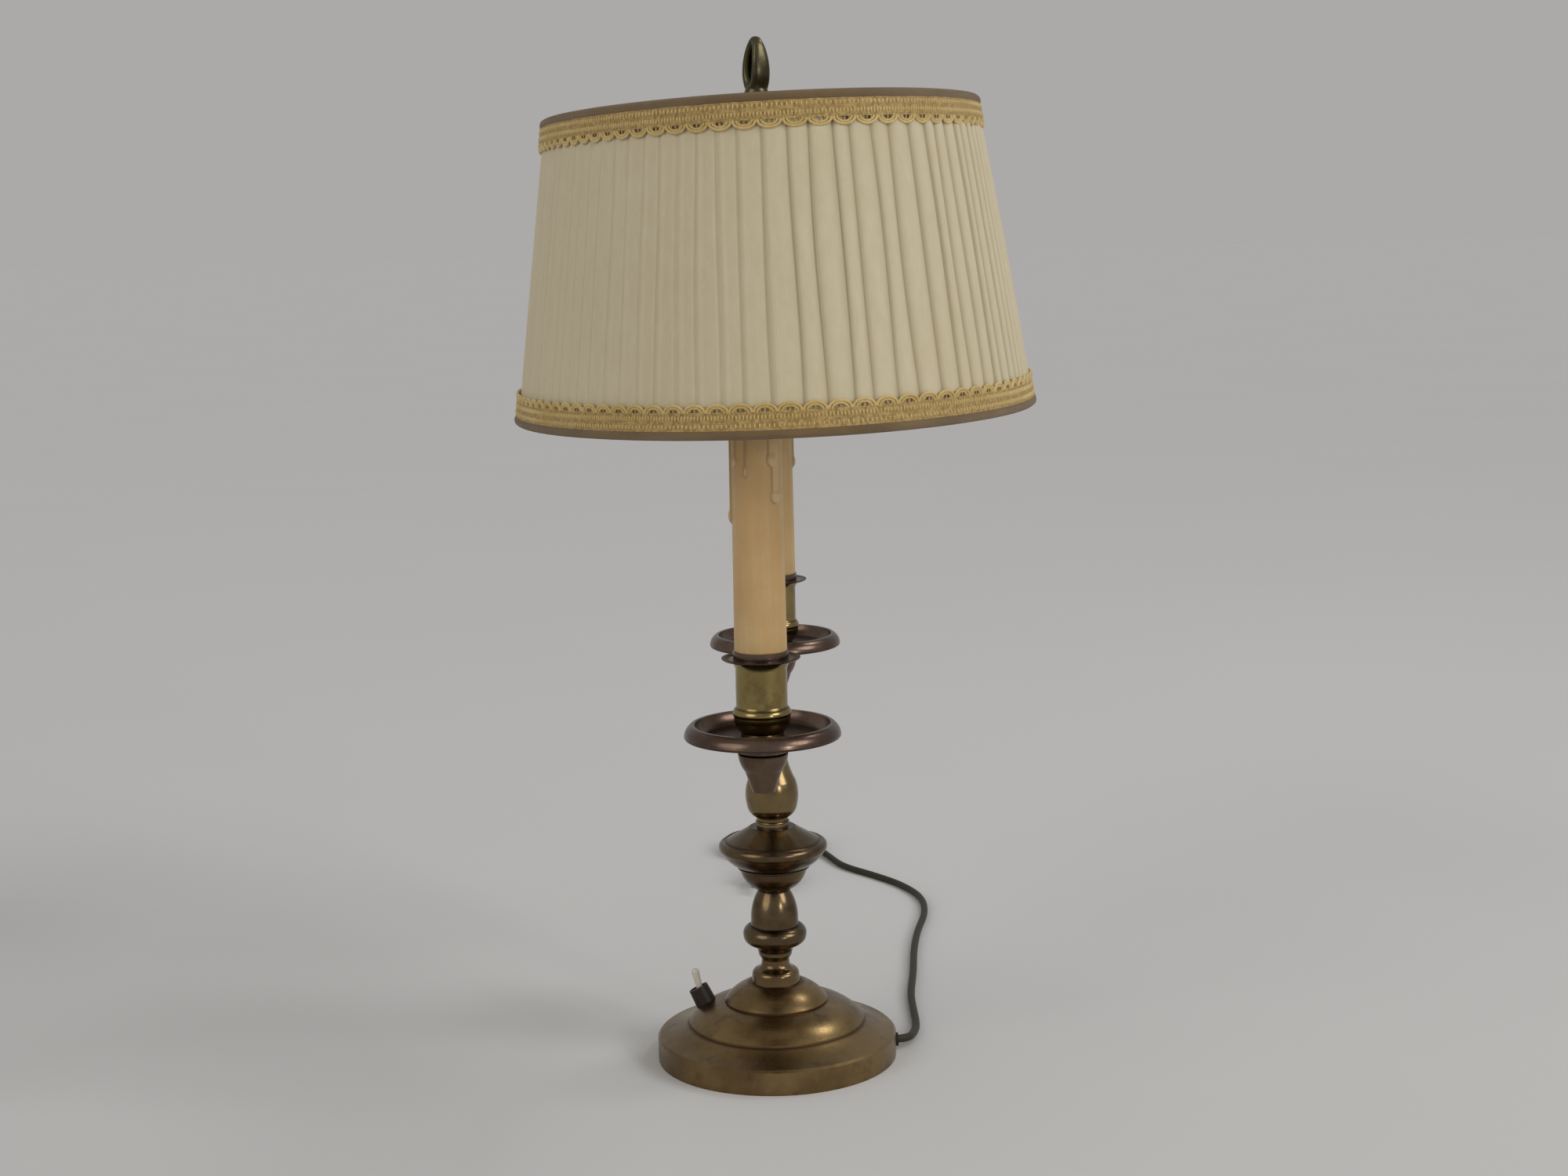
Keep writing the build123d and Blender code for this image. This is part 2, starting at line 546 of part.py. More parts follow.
def make_candle():
    """A slightly tapered sleeve with wax drips down its upper part."""
    middle = candle_foot_z() + CANDLE_HEIGHT / 2
    shell = Pos(0, 0, middle) * Cone(CANDLE_FOOT_RADIUS, CANDLE_TOP_RADIUS, CANDLE_HEIGHT)
    for angle, share in zip(DRIP_ANGLES, DRIP_LENGTH_SHARES):
        top, end = candle_top_z() - DRIP_STAND, candle_top_z() - share * CANDLE_HEIGHT
        high = Vector(*polar(candle_radius(top) + DRIP_STAND - DRIP_RADIUS, angle), top)
        low = Vector(*polar(candle_radius(end) + DRIP_STAND - DRIP_RADIUS, angle), end)
        run = high - low
        stem = Plane(origin=(high + low) / 2, z_dir=run) * Cylinder(DRIP_RADIUS, run.length)
        shell += [stem, Pos(*low) * Sphere(DRIP_END_RADIUS)]
    shell -= Pos(0, 0, middle) * Cone(CANDLE_FOOT_RADIUS - CANDLE_WALL, CANDLE_TOP_RADIUS - CANDLE_WALL,
                                      CANDLE_HEIGHT)
    return Pos(0, -ARM_REACH, 0) * shell


def holder_top_z():
    return candle_top_z() - HOLDER_TOP_BELOW


def make_lampholder():
    """A screw socket that stands on the arm's thread, inside the candle sleeve."""
    top, low = holder_top_z(), ARM_THREAD_TOP_Z - HOLDER_SOCKET_DEPTH + OVERRUN
    body = upright(HOLDER_SOCKET_RADIUS, low, ARM_THREAD_TOP_Z + OVERRUN)
    body += upright(HOLDER_NECK_RADIUS, ARM_THREAD_TOP_Z, top - HOLDER_BODY_HEIGHT + OVERRUN)
    body += upright(HOLDER_BODY_RADIUS, top - HOLDER_BODY_HEIGHT, top)
    body -= upright(ARM_RADIUS, low - OVERRUN, ARM_THREAD_TOP_Z)
    body -= upright(BULB_CAP_RADIUS + RUNNING_CLEARANCE, top - HOLDER_BORE_DEPTH, top + OVERRUN)
    return Pos(0, -ARM_REACH, 0) * body


def make_bulb_cap():
    """The screw shell and the contact button, turned in the holder's bore."""
    top = holder_top_z() + BULB_CAP_PROUD
    low = top - BULB_CAP_LENGTH
    button_low = holder_top_z() - HOLDER_BORE_DEPTH + BULB_CONTACT_GAP
    cap = upright(BULB_CAP_RADIUS, low, top) + upright(BULB_CONTACT_RADIUS, button_low, low + BULB_CONTACT_LENGTH)
    return Pos(0, -ARM_REACH, 0) * cap


def make_bulb_glass():
    low = holder_top_z() + BULB_CAP_PROUD
    return Pos(0, -ARM_REACH, 0) * turned(BULB_RADIUS, BULB_LENGTH, low, BULB_SHARES)


def make_arm_set():
    """The pieces of the front arm; the back arm's are the same, turned half a round."""
    return {
        "arm": make_arm(), "arm_cone": make_cone(), "drip_pan": make_pan(), "candle_cup": make_cup(),
        "cup_lip": make_cup_lip(), "arm_nut": make_arm_nut(), "candle_sleeve": make_candle(),
        "lampholder": make_lampholder(), "bulb_cap": make_bulb_cap(), "bulb_glass": make_bulb_glass(),
    }


def shade_half_axes(z, out=0.0):
    """The shade's short and long half axes at a height, moved outwards by a distance."""
    grow = SHADE_FLARE * (SHADE_TOP_Z - z) / SHADE_HEIGHT + out
    return SHADE_TOP_SHORT + grow, SHADE_TOP_LONG + grow


def shade_bottom_z():
    return SHADE_TOP_Z - SHADE_HEIGHT


def oval_point(z, out, turn):
    """A point of the shade's oval, with turn in degrees of the oval's own parameter."""
    short, long = shade_half_axes(z, out)
    return Vector(short * math.cos(math.radians(turn)), long * math.sin(math.radians(turn)), z)


def oval_tangent(z, out, turn):
    short, long = shade_half_axes(z, out)
    return Vector(-short * math.sin(math.radians(turn)), long * math.cos(math.radians(turn)), 0)


def oval_face(z, out):
    short, long = shade_half_axes(z, out)
    return Pos(0, 0, z) * Ellipse(short, long)


def oval_cone(low, high, out):
    return loft([oval_face(low, out), oval_face(high, out)], ruled=True)


def oval_band(low, high, inner, outer):
    """A band of the shade's own cone between two heights and two offsets."""
    return oval_cone(low, high, outer) - oval_cone(low - OVERRUN, high + OVERRUN, inner)


def pleat_turns(count):
    """The oval's parameter at equal steps along its rim, found by adding up short chords."""
    fine = count * 40
    points = [oval_point(SHADE_TOP_Z, 0, ROUND * k / fine) for k in range(fine + 1)]
    lengths = [0.0]
    for a, b in zip(points, points[1:]):
        lengths.append(lengths[-1] + (b - a).length)
    turns, k = [], 0
    for n in range(count):
        goal = lengths[-1] * n / count
        while lengths[k + 1] < goal:
            k += 1
        part = (goal - lengths[k]) / (lengths[k + 1] - lengths[k])
        turns.append(ROUND * (k + part) / fine)
    return turns


def pleated_face(z, turns):
    """One rounded fold between each two valleys of the oval."""
    valleys = [oval_point(z, 0, turn) for turn in turns]
    edges = []
    for k, valley in enumerate(valleys):
        after = turns[(k + 1) % len(turns)] + (ROUND if k + 1 == len(turns) else 0)
        crest = oval_point(z, PLEAT_DEPTH, (turns[k] + after) / 2)
        edges.append(ThreePointArc(valley, crest, valleys[(k + 1) % len(valleys)]))
    return Face(Wire(edges))


def fabric_levels():
    return shade_bottom_z() + TAPE_THICKNESS, SHADE_TOP_Z - TAPE_THICKNESS


def make_shade_fabric():
    low, high = fabric_levels()
    turns = pleat_turns(PLEAT_COUNT)
    folds = loft([pleated_face(low, turns), pleated_face(high, turns)], ruled=True)
    return folds - oval_cone(low - OVERRUN, high + OVERRUN, -FABRIC_WALL)


def trim_out():
    """How far outside the oval the trims start: just clear of the folds' crests."""
    return PLEAT_DEPTH + TRIM_GAP


def make_tape(at_top):
    """Bias tape folded over the shade's edge: a band outside and a web over the edge."""
    out, inner = trim_out(), -FABRIC_WALL - 2 * FRAME_GAP - 2 * FRAME_WIRE_RADIUS
    edge = SHADE_TOP_Z if at_top else shade_bottom_z()
    inward = -1 if at_top else 1
    low, high = sorted((edge, edge + inward * TAPE_HEIGHT))
    web_low, web_high = sorted((edge, edge + inward * (TAPE_THICKNESS - TRIM_GAP)))
    return oval_band(low, high, out, out + TAPE_THICKNESS) + oval_band(web_low, web_high, inner, out + TRIM_GAP)


def make_gimp(at_top):
    """A woven braid laid round the folds, next to the tape."""
    out = trim_out()
    if at_top:
        high = SHADE_TOP_Z - TAPE_HEIGHT - TRIM_GAP
        return oval_band(high - GIMP_HEIGHT, high, out, out + GIMP_THICKNESS)
    low = shade_bottom_z() + TAPE_HEIGHT + TRIM_GAP
    return oval_band(low, low + GIMP_HEIGHT, out, out + GIMP_THICKNESS)


def frame_out():
    return -FABRIC_WALL - FRAME_GAP - FRAME_WIRE_RADIUS


def ring_levels():
    inset = TAPE_THICKNESS + FRAME_GAP + FRAME_WIRE_RADIUS
    return shade_bottom_z() + inset, SHADE_TOP_Z - inset


def make_frame_ring(z):
    """A round wire bent to the oval, as smooth arcs."""
    turns = [ROUND * k / RING_ARC_COUNT for k in range(RING_ARC_COUNT)]
    out, edges = frame_out(), []
    for turn, after in zip(turns, turns[1:] + [ROUND]):
        ends = [(oval_point(z, out, t), oval_tangent(z, out, t)) for t in (turn, after)]
        edges += biarc(tuple(ends[0][0]), tuple(ends[0][1]), tuple(ends[1][0]), tuple(ends[1][1]))
    start = ring_at(FRAME_WIRE_RADIUS, oval_point(z, out, 0), oval_tangent(z, out, 0))
    return sweep(start, path=Wire(edges))


def make_frame_struts():
    """Straight wires welded inside the two rings."""
    low, high = ring_levels()
    out = frame_out() - 2 * FRAME_WIRE_RADIUS - TRIM_GAP
    struts = []
    for k in range(STRUT_COUNT):
        turn = STRUT_FIRST_ANGLE + ROUND * k / STRUT_COUNT
        foot, head = oval_point(low, out, turn), oval_point(high, out, turn)
        run = head - foot
        struts.append(Plane(origin=(foot + head) / 2, z_dir=run) * Cylinder(FRAME_WIRE_RADIUS, run.length))
    return struts


def spider_z():
    return SHADE_TOP_Z - SPIDER_DROP


def shade_place():
    """Turns the shade from the arms and tips it about its seat; the spider's washer stays level."""
    seat = Pos(0, 0, spider_z())
    return seat * Rot(SHADE_NOD, SHADE_LEAN, 0) * seat.inverse() * Rot(0, 0, SHADE_REST_TURN)


def make_frame_spider():
    """The washer on the rod and four wires out to the top ring."""
    z = spider_z()
    washer = tube(SPIDER_WASHER_RADIUS, ROD_RADIUS + RUNNING_CLEARANCE, z, z + SPIDER_WASHER_THICKNESS)
    level = z + SPIDER_WASHER_THICKNESS / 2
    rise = ring_levels()[1]
    for turn in (0, 90, 180, 270):
        out = frame_out() - FRAME_WIRE_RADIUS - TRIM_GAP
        rim = (shade_place() * Pos(oval_point(rise, out, turn))).position
        share = (SPIDER_WASHER_RADIUS - OVERRUN) / math.hypot(rim.X, rim.Y)
        root = Vector(rim.X * share, rim.Y * share, level)
        run = rim - root
        washer += Plane(origin=(rim + root) / 2, z_dir=run) * Cylinder(FRAME_WIRE_RADIUS, run.length)
    return washer


def make_shade():
    low, high = ring_levels()
    pieces = {
        "shade_fabric": make_shade_fabric(), "shade_tape_top": make_tape(True),
        "shade_tape_bottom": make_tape(False), "shade_gimp_top": make_gimp(True),
        "shade_gimp_bottom": make_gimp(False), "frame_ring_top": make_frame_ring(high),
        "frame_ring_bottom": make_frame_ring(low), "frame_struts": make_frame_struts(),
    }
    place = shade_place()
    placed = {name: ([place * s for s in piece] if isinstance(piece, list) else place * piece)
              for name, piece in pieces.items()}
    return placed | {"frame_spider": make_frame_spider()}


def finial_foot_z():
    return spider_z() + SPIDER_WASHER_THICKNESS + 2 * SEAT_GAP + FINIAL_WASHER_THICKNESS


def make_shade_rod():
    low = stem_levels()[8] - ROD_SEAT_DEPTH
    return upright(ROD_RADIUS, low, finial_foot_z() + ROD_THREAD_LENGTH - OVERRUN)


def make_seat_nut():
    """The shoulder that the shade's washer rests on."""
    high = spider_z() - SEAT_GAP
    return tube(SEAT_NUT_RADIUS, ROD_RADIUS, high - SEAT_NUT_HEIGHT, high)


def make_finial_washer():
    low = spider_z() + SPIDER_WASHER_THICKNESS + SEAT_GAP
    return tube(FINIAL_WASHER_RADIUS, ROD_RADIUS + RUNNING_CLEARANCE, low, low + FINIAL_WASHER_THICKNESS)


def make_ring_finial():
    """A shank that carries a pointed ring with an oval eye."""
    low = finial_foot_z()
    half, tall = FINIAL_WIDTH / 2, FINIAL_RING_HEIGHT / 2
    arcs = [ThreePointArc((0, 0, -tall), (half, 0, 0), (0, 0, tall)),
            ThreePointArc((0, 0, tall), (-half, 0, 0), (0, 0, -tall))]
    outline = make_face(arcs)
    ring = extrude(fillet(outline.vertices(), FINIAL_TIP_RADIUS), FINIAL_DEPTH / 2, both=True)
    rims = ring.edges().group_by(Axis.Y)
    ring = fillet(list(rims[0]) + list(rims[-1]), FINIAL_EDGE)
    middle = low + FINIAL_HEIGHT - ring.bounding_box().max.Z
    finial = Pos(0, 0, middle) * ring
    finial += upright(FINIAL_SHANK_RADIUS, low, low + FINIAL_SHANK_HEIGHT)
    finial += upright(FINIAL_FOOT_RADIUS, low, low + FINIAL_FOOT_HEIGHT)
    eye = Rot(90, 0, 0) * extrude(Ellipse(FINIAL_EYE_WIDTH / 2, FINIAL_EYE_HEIGHT / 2), FINIAL_WIDTH, both=True)
    finial -= Pos(0, 0, low + FINIAL_EYE_BOTTOM + FINIAL_EYE_HEIGHT / 2) * eye
    finial -= upright(ROD_RADIUS + RUNNING_CLEARANCE, low - OVERRUN, low + FINIAL_BORE_DEPTH)
    return Rot(0, 0, FINIAL_TURN + 90) * finial


def switch_place():
    """The switch's own frame: on the dome's skin, with Z out of it."""
    x, y = polar(SWITCH_SEAT_RADIUS, SWITCH_AZIMUTH)
    return Pos(x, y, SWITCH_SEAT_Z) * Rot(0, 0, SWITCH_AZIMUTH) * Rot(0, SWITCH_TILT, 0)


def make_switch_collar():
    """The moulded sleeve that screws down on the dome, with a slot for the lever."""
    low = -SWITCH_SINK
    middle = (low + SWITCH_COLLAR_HEIGHT) / 2
    collar = Pos(0, 0, middle) * Cone(SWITCH_COLLAR_FOOT_RADIUS, SWITCH_COLLAR_RADIUS, SWITCH_COLLAR_HEIGHT - low)
    slot = Pos(0, 0, SWITCH_COLLAR_HEIGHT) * Box(LEVER_SLOT_LENGTH, LEVER_SLOT_WIDTH, 2 * LEVER_PIVOT_HEIGHT)
    pin = Pos(0, 0, LEVER_PIVOT_HEIGHT) * Rot(90, 0, 0) * Cylinder(
        LEVER_PIN_RADIUS + RUNNING_CLEARANCE, LEVER_PIN_LENGTH + 2 * SEAT_GAP)
    return switch_place() * (collar - slot - pin)


def make_switch_body():
    """The switch inside the dome, and its shank up to the collar."""
    body = upright(SWITCH_SHANK_RADIUS, -SWITCH_BODY_LENGTH, -SWITCH_SINK)
    top = -SWITCH_SINK - 2 * SHELL_WALL
    body += upright(SWITCH_BODY_RADIUS, top - SWITCH_BODY_LENGTH, top)
    return switch_place() * body


def make_switch_lever():
    """A tapered lever thrown to one side about a pin across the collar."""
    high = LEVER_LENGTH - LEVER_TIP_RADIUS
    lever = Sphere(LEVER_FOOT_RADIUS) + Pos(0, 0, high) * Sphere(LEVER_TIP_RADIUS)
    lever += Pos(0, 0, high / 2) * Cone(LEVER_FOOT_RADIUS, LEVER_TIP_RADIUS, high)
    lever += Rot(90, 0, 0) * Cylinder(LEVER_PIN_RADIUS, LEVER_PIN_LENGTH)
    return switch_place() * Pos(0, 0, LEVER_PIVOT_HEIGHT) * Rot(0, -LEVER_THROW, 0) * lever


def exit_place():
    """The frame of the cord's hole: on the band's outside, with Z out of it."""
    x, y = polar(BAND_RADIUS, CORD_EXIT_AZIMUTH)
    return Pos(x, y, CORD_EXIT_Z) * Rot(0, 0, CORD_EXIT_AZIMUTH) * Rot(0, 90, 0)


def make_cord_collar():
    """A small bush in the band that keeps the cord off the brass."""
    head = upright(CORD_COLLAR_RADIUS, 0, CORD_COLLAR_PROUD) + upright(
        CORD_COLLAR_SHANK_RADIUS, -CORD_INSIDE_LENGTH, 0)
    return exit_place() * (head - upright(CORD_RADIUS, -CORD_INSIDE_LENGTH - OVERRUN, OVERRUN))


def limp_radii(points):
    """The largest arc that each corner's two runs allow."""
    radii = []
    for before, at, after in zip(points, points[1:], points[2:]):
        one, two = at - before, after - at
        turn = math.radians(one.get_angle(two))
        radii.append(CORD_BEND_SHARE * min(one.length, two.length) / math.tan(turn / 2))
    return radii


def cord_tube(points, name):
    """A round cord along straight runs joined by tangent arcs, with its figures printed."""
    points = [Vector(*p) for p in points]
    radii = limp_radii(points)
    path = FilletPolyline(*[tuple(p) for p in points], radius=radii)
    cord = sweep(ring_at(CORD_RADIUS, path @ 0, path % 0), path=path)
    ratio = cord.volume / (math.pi * CORD_RADIUS ** 2 * path.length)
    print(name, "length", round(path.length, 1), "volume ratio", round(ratio, 4),
          "radii", [round(r, 1) for r in radii])
    return cord, path.length


def coil_point(turns):
    """A place on the coil's line and its direction, after a number of turns."""
    down, climb = COIL_TURNS_DOWN, COIL_TURNS_CLIMB
    if turns <= down:
        radius, rise, slope = COIL_INNER_RADIUS + COIL_PITCH * (down - turns), 0.0, -COIL_PITCH
    elif turns < down + climb:
        part = (turns - down) / climb
        radius = COIL_INNER_RADIUS - COIL_CLIMB_DIP * math.sin(math.pi * part)
        slope = -COIL_CLIMB_DIP * math.pi / climb * math.cos(math.pi * part)
        rise = COIL_LAYER_RISE * (1 - math.cos(math.pi * part)) / 2
    else:
        radius, rise = COIL_INNER_RADIUS + COIL_PITCH * (turns - down - climb), COIL_LAYER_RISE
        slope = COIL_PITCH
    angle = ROUND * turns
    x, y = polar(radius, angle)
    dx, dy = polar(slope, angle)
    tx, ty = polar(2 * math.pi * radius, angle + ROUND / 4)
    lift = 0.0
    if down < turns < down + climb:
        lift = COIL_LAYER_RISE / climb * math.pi / 2 * math.sin(math.pi * (turns - down) / climb)
    place = Vector(COIL_CENTRE[0] + x, COIL_CENTRE[1] + y, CORD_RADIUS + COIL_LIFT + rise)
    return place, Vector(dx + tx, dy + ty, lift)


def coil_path():
    """Quarter turns, each as two arcs, with a short straight at both ends."""
    marks = [0]
    for turns in (COIL_TURNS_DOWN, COIL_TURNS_CLIMB, COIL_TURNS_UP):
        steps, before = math.ceil(4 * turns), marks[-1]
        marks += [before + turns * (k + 1) / steps for k in range(steps)]
    stations = [coil_point(mark) for mark in marks]
    edges = []
    for (a, leave), (b, arrive) in zip(stations, stations[1:]):
        edges += biarc(tuple(a), tuple(leave), tuple(b), tuple(arrive))
    (first, out), (last, on) = stations[0], stations[-1]
    before = first - out.normalized() * CORD_DIAMETER
    after = last + on.normalized() * CORD_DIAMETER
    return Wire([Line(tuple(before), tuple(first))] + edges + [Line(tuple(last), tuple(after))]), before, after


def least_gap_in_coil(path):
    """The least clear space between two turns, measured on points along the line."""
    count = round(path.length / (CORD_RADIUS / 2))
    points = [path @ (k / count) for k in range(count + 1)]
    apart = round(2.5 * CORD_DIAMETER / (path.length / count))
    gap = min((a - b).length for k, a in enumerate(points) for b in points[k + apart:])
    return gap - CORD_DIAMETER


def make_cord_coil():
    path, before, after = coil_path()
    coil = sweep(ring_at(CORD_RADIUS, before, path % 0), path=path)
    ratio = coil.volume / (math.pi * CORD_RADIUS ** 2 * path.length)
    print("cord_coil length", round(path.length, 1), "volume ratio", round(ratio, 4),
          "least gap", round(least_gap_in_coil(path), 2))
    return coil, path.length


def make_cord_run():
    """From the collar's bore, down to the table and away to the coil."""
    _, before, _ = coil_path()
    _, heading = coil_point(0)
    inside = exit_place() * Pos(0, 0, -CORD_INSIDE_LENGTH)
    past = exit_place() * Pos(0, 0, CORD_STEP_PAST_COLLAR)
    lead = before - heading.normalized() * (Vector(*CORD_ROUTE[-1]) - before).length / 2
    points = [tuple(inside.position), tuple(past.position)] + CORD_ROUTE + [tuple(lead), tuple(before)]
    return cord_tube(points, "cord_run")


def tail_points():
    """From the coil's end round to the plug's direction in equal steps, then down to its height."""
    _, _, here = coil_path()
    _, heading = coil_point(COIL_TURNS_DOWN + COIL_TURNS_CLIMB + COIL_TURNS_UP)
    angle = math.degrees(math.atan2(heading.Y, heading.X))
    bend = (-ROUND / 4 - angle) / TAIL_BENDS
    points = [here]
    for k in range(TAIL_BENDS + 1):
        drop = (here.Z - PLUG_THICKNESS / 2) if k == 1 else 0.0
        here = here + Vector(*polar(TAIL_STEP, angle + k * bend), -drop)
        points.append(here)
    return points[:-1] + [here + Vector(0, -PIN_SEAT, 0)]


def make_cord_tail():
    return cord_tube([tuple(p) for p in tail_points()], "cord_tail")


def plug_rear():
    return tail_points()[-1] + Vector(0, PIN_SEAT, 0)


def make_coil_tie():
    """A flat band closed round the coil's turns at one place."""
    inner = COIL_INNER_RADIUS - CORD_RADIUS - TIE_GAP
    outer = COIL_INNER_RADIUS + COIL_PITCH * COIL_TURNS_UP + CORD_RADIUS + TIE_GAP
    low = COIL_LIFT - TIE_GAP
    high = COIL_LIFT + COIL_LAYER_RISE + CORD_DIAMETER + TIE_GAP
    x, z = (inner + outer) / 2, (low + high) / 2
    band = Box(outer - inner + 2 * TIE_WALL, TIE_WIDTH, high - low + 2 * TIE_WALL) - Box(
        outer - inner, TIE_WIDTH + OVERRUN, high - low)
    return Pos(*COIL_CENTRE, 0) * Rot(0, 0, TIE_ANGLE) * Pos(x, 0, z) * band


def make_plug_body():
    """A flat two-pin plug: waisted behind a wide pin face, with a neck for the cord."""
    half, waist, tail, deep = PLUG_WIDTH / 2, PLUG_WAIST / 2, PLUG_TAIL_RADIUS, PLUG_LENGTH
    points = [(-half, -deep), (half, -deep), (half, -deep * 4 / 5), (waist, -deep * 2 / 5), (tail, -deep / 5),
              (tail, 0), (-tail, 0), (-tail, -deep / 5), (-waist, -deep * 2 / 5), (-half, -deep * 4 / 5)]
    body = extrude(make_face(Polyline(*points, close=True)), PLUG_THICKNESS)
    body = fillet(body.edges().filter_by(Axis.Z), PLUG_EDGE)
    bore = Pos(0, 0, PLUG_THICKNESS / 2) * Rot(90, 0, 0)
    body -= bore * Cylinder(CORD_RADIUS, 2 * PIN_SEAT)
    for side in (-1, 1):
        body -= Pos(side * PIN_SPACING / 2, -deep, 0) * bore * Cylinder(PIN_RADIUS, 2 * PIN_SEAT)
    rear = plug_rear()
    return Pos(rear.X, rear.Y, 0) * body


def make_plug_pins():
    rear = plug_rear()
    high = rear.Y - PLUG_LENGTH + PIN_SEAT
    length = PIN_LENGTH + PIN_SEAT
    return [Pos(rear.X + side * PIN_SPACING / 2, high - length / 2, PLUG_THICKNESS / 2) * Rot(90, 0, 0)
            * Cylinder(PIN_RADIUS, length) for side in (-1, 1)]


def write(name, piece):
    if isinstance(piece, list):
        piece = Compound(children=list(piece))
    export_step(piece, f"parts/{name}.step")


def main():
    nodes = {
        "base_shell": make_base_shell(), "base_felt": make_base_felt(), "base_weight": make_base_weight(),
        "pipe_washer": make_pipe_washer(), "pipe_nuts": make_pipe_nuts(), "lamp_pipe": make_lamp_pipe(),
        "arm_hub": make_arm_hub(), "hub_cap": make_hub_cap(), "shade_rod": make_shade_rod(),
        "seat_nut": make_seat_nut(), "finial_washer": make_finial_washer(), "ring_finial": make_ring_finial(),
        "switch_collar": make_switch_collar(), "switch_body": make_switch_body(),
        "switch_lever": make_switch_lever(), "cord_collar": make_cord_collar(),
        "coil_tie": make_coil_tie(), "plug_body": make_plug_body(), "plug_pins": make_plug_pins(),
    }
    nodes.update(make_stem())
    for name, piece in make_arm_set().items():
        nodes[name + "_front"] = piece
        nodes[name + "_back"] = Rot(0, 0, ROUND / 2) * piece
    nodes.update(make_shade())
    lengths = {}
    for name, make in (("cord_run", make_cord_run), ("cord_coil", make_cord_coil), ("cord_tail", make_cord_tail)):
        nodes[name], lengths[name] = make()
    print("cord in all", round(sum(lengths.values()), 1))
    for name, piece in nodes.items():
        write(name, piece)


main()
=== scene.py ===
import math
import random

import bmesh
import bpy
from mathutils import Matrix, Vector


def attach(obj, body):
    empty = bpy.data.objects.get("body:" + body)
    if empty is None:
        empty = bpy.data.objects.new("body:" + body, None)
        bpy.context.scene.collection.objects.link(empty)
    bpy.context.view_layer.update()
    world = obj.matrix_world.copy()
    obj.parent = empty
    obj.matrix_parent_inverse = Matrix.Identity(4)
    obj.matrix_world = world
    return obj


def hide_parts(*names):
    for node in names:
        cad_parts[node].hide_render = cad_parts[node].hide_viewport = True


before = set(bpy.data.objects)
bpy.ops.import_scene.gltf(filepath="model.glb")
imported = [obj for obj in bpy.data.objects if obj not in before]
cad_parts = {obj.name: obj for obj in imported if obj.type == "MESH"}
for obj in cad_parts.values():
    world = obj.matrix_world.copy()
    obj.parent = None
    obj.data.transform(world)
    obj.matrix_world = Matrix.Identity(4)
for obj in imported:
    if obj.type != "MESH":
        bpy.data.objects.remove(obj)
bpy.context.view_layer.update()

# --- The camera ---
# It stands where the photographer stood: level with the middle of the shade, 1.23 m in front
# of the stem, looking slightly down, with a small roll.
PHOTO_WIDTH = 2000
FOCAL_PIXELS = 3101.4
SENSOR_MM = 36.0
NEAR_CLIP, FAR_CLIP = 0.05, 60
EYE = Vector((0.0375, -1.2348, 0.4409))
RIGHT = Vector((0.99958, 0.02020, -0.02070))
UP = Vector((0.01735, 0.15354, 0.98799))
camera = bpy.data.objects.new("camera", bpy.data.cameras.new("camera"))
camera.data.sensor_fit = "HORIZONTAL"
camera.data.sensor_width = SENSOR_MM
camera.data.lens = FOCAL_PIXELS / PHOTO_WIDTH * SENSOR_MM
camera.data.clip_start, camera.data.clip_end = NEAR_CLIP, FAR_CLIP
BACK = RIGHT.cross(UP).normalized()
axes = Matrix((RIGHT, BACK.cross(RIGHT), BACK)).transposed().to_4x4()
camera.matrix_world = Matrix.Translation(EYE) @ axes
bpy.context.collection.objects.link(camera)
bpy.context.scene.camera = camera


# --- The mains lead ---
# A round two-core lead with a thin olive-brown sheath. It leaves the base at the right, curves
# away behind the lamp, and its spare length is wound into a tied coil that ends in a flat plug.
class Socket:
    """A shader socket that arithmetic can be written on."""

    def __init__(self, graph, socket):
        self.graph, self.socket = graph, socket

    def maths(self, operation, *others):
        return self.graph.node("ShaderNodeMath", dict(operation=operation), inputs=(self, *others))

    def __add__(self, other):
        return self.maths("ADD", other)

    def __sub__(self, other):
        return self.maths("SUBTRACT", other)

    def __mul__(self, other):
        return self.maths("MULTIPLY", other)

    def __rsub__(self, other):
        return self.maths("MULTIPLY_ADD", -1.0, other)

    def __neg__(self):
        return self.maths("MULTIPLY", -1.0)

    __radd__, __rmul__ = __add__, __mul__

    def band(self, low, high):
        """0 below low, 1 above high, and smooth between."""
        smooth = dict(interpolation_type="SMOOTHSTEP")
        return self.graph.node("ShaderNodeMapRange", smooth, inputs=(self, low, high, 0.0, 1.0))

    def part(self, axis):
        return self.graph.node("ShaderNodeSeparateXYZ", inputs=(self,), output=axis)


class Graph:
    """A node tree that is written as expressions."""
    prefix = "GeometryNode"

    def __init__(self, tree):
        self.tree = tree

    def put(self, socket, value):
        if isinstance(value, Socket):
            self.tree.links.new(value.socket, socket)
        else:
            if hasattr(socket.default_value, "__len__") and len(socket.default_value) == len(value) + 1:
                value = (*value, 1.0)
            socket.default_value = value

    def node(self, kind, settings=None, inputs=(), output=None, **named):
        """A node: its settings first, then its sockets by order or by name."""
        whole = kind.startswith(("ShaderNode", "GeometryNode", "FunctionNode"))
        node = self.tree.nodes.new(kind if whole else self.prefix + kind)
        for key, value in (settings or {}).items():
            setattr(node, key, value)
        sockets = [s for s in node.inputs if s.enabled]
        for socket, value in zip(sockets, inputs):
            self.put(socket, value)
        for name, value in named.items():
            self.put(next(s for s in sockets if s.name == name.replace("_", " ")), value)
        outputs = [s for s in node.outputs if s.enabled and (output is None or s.name == output)]
        return Socket(self, outputs[0])


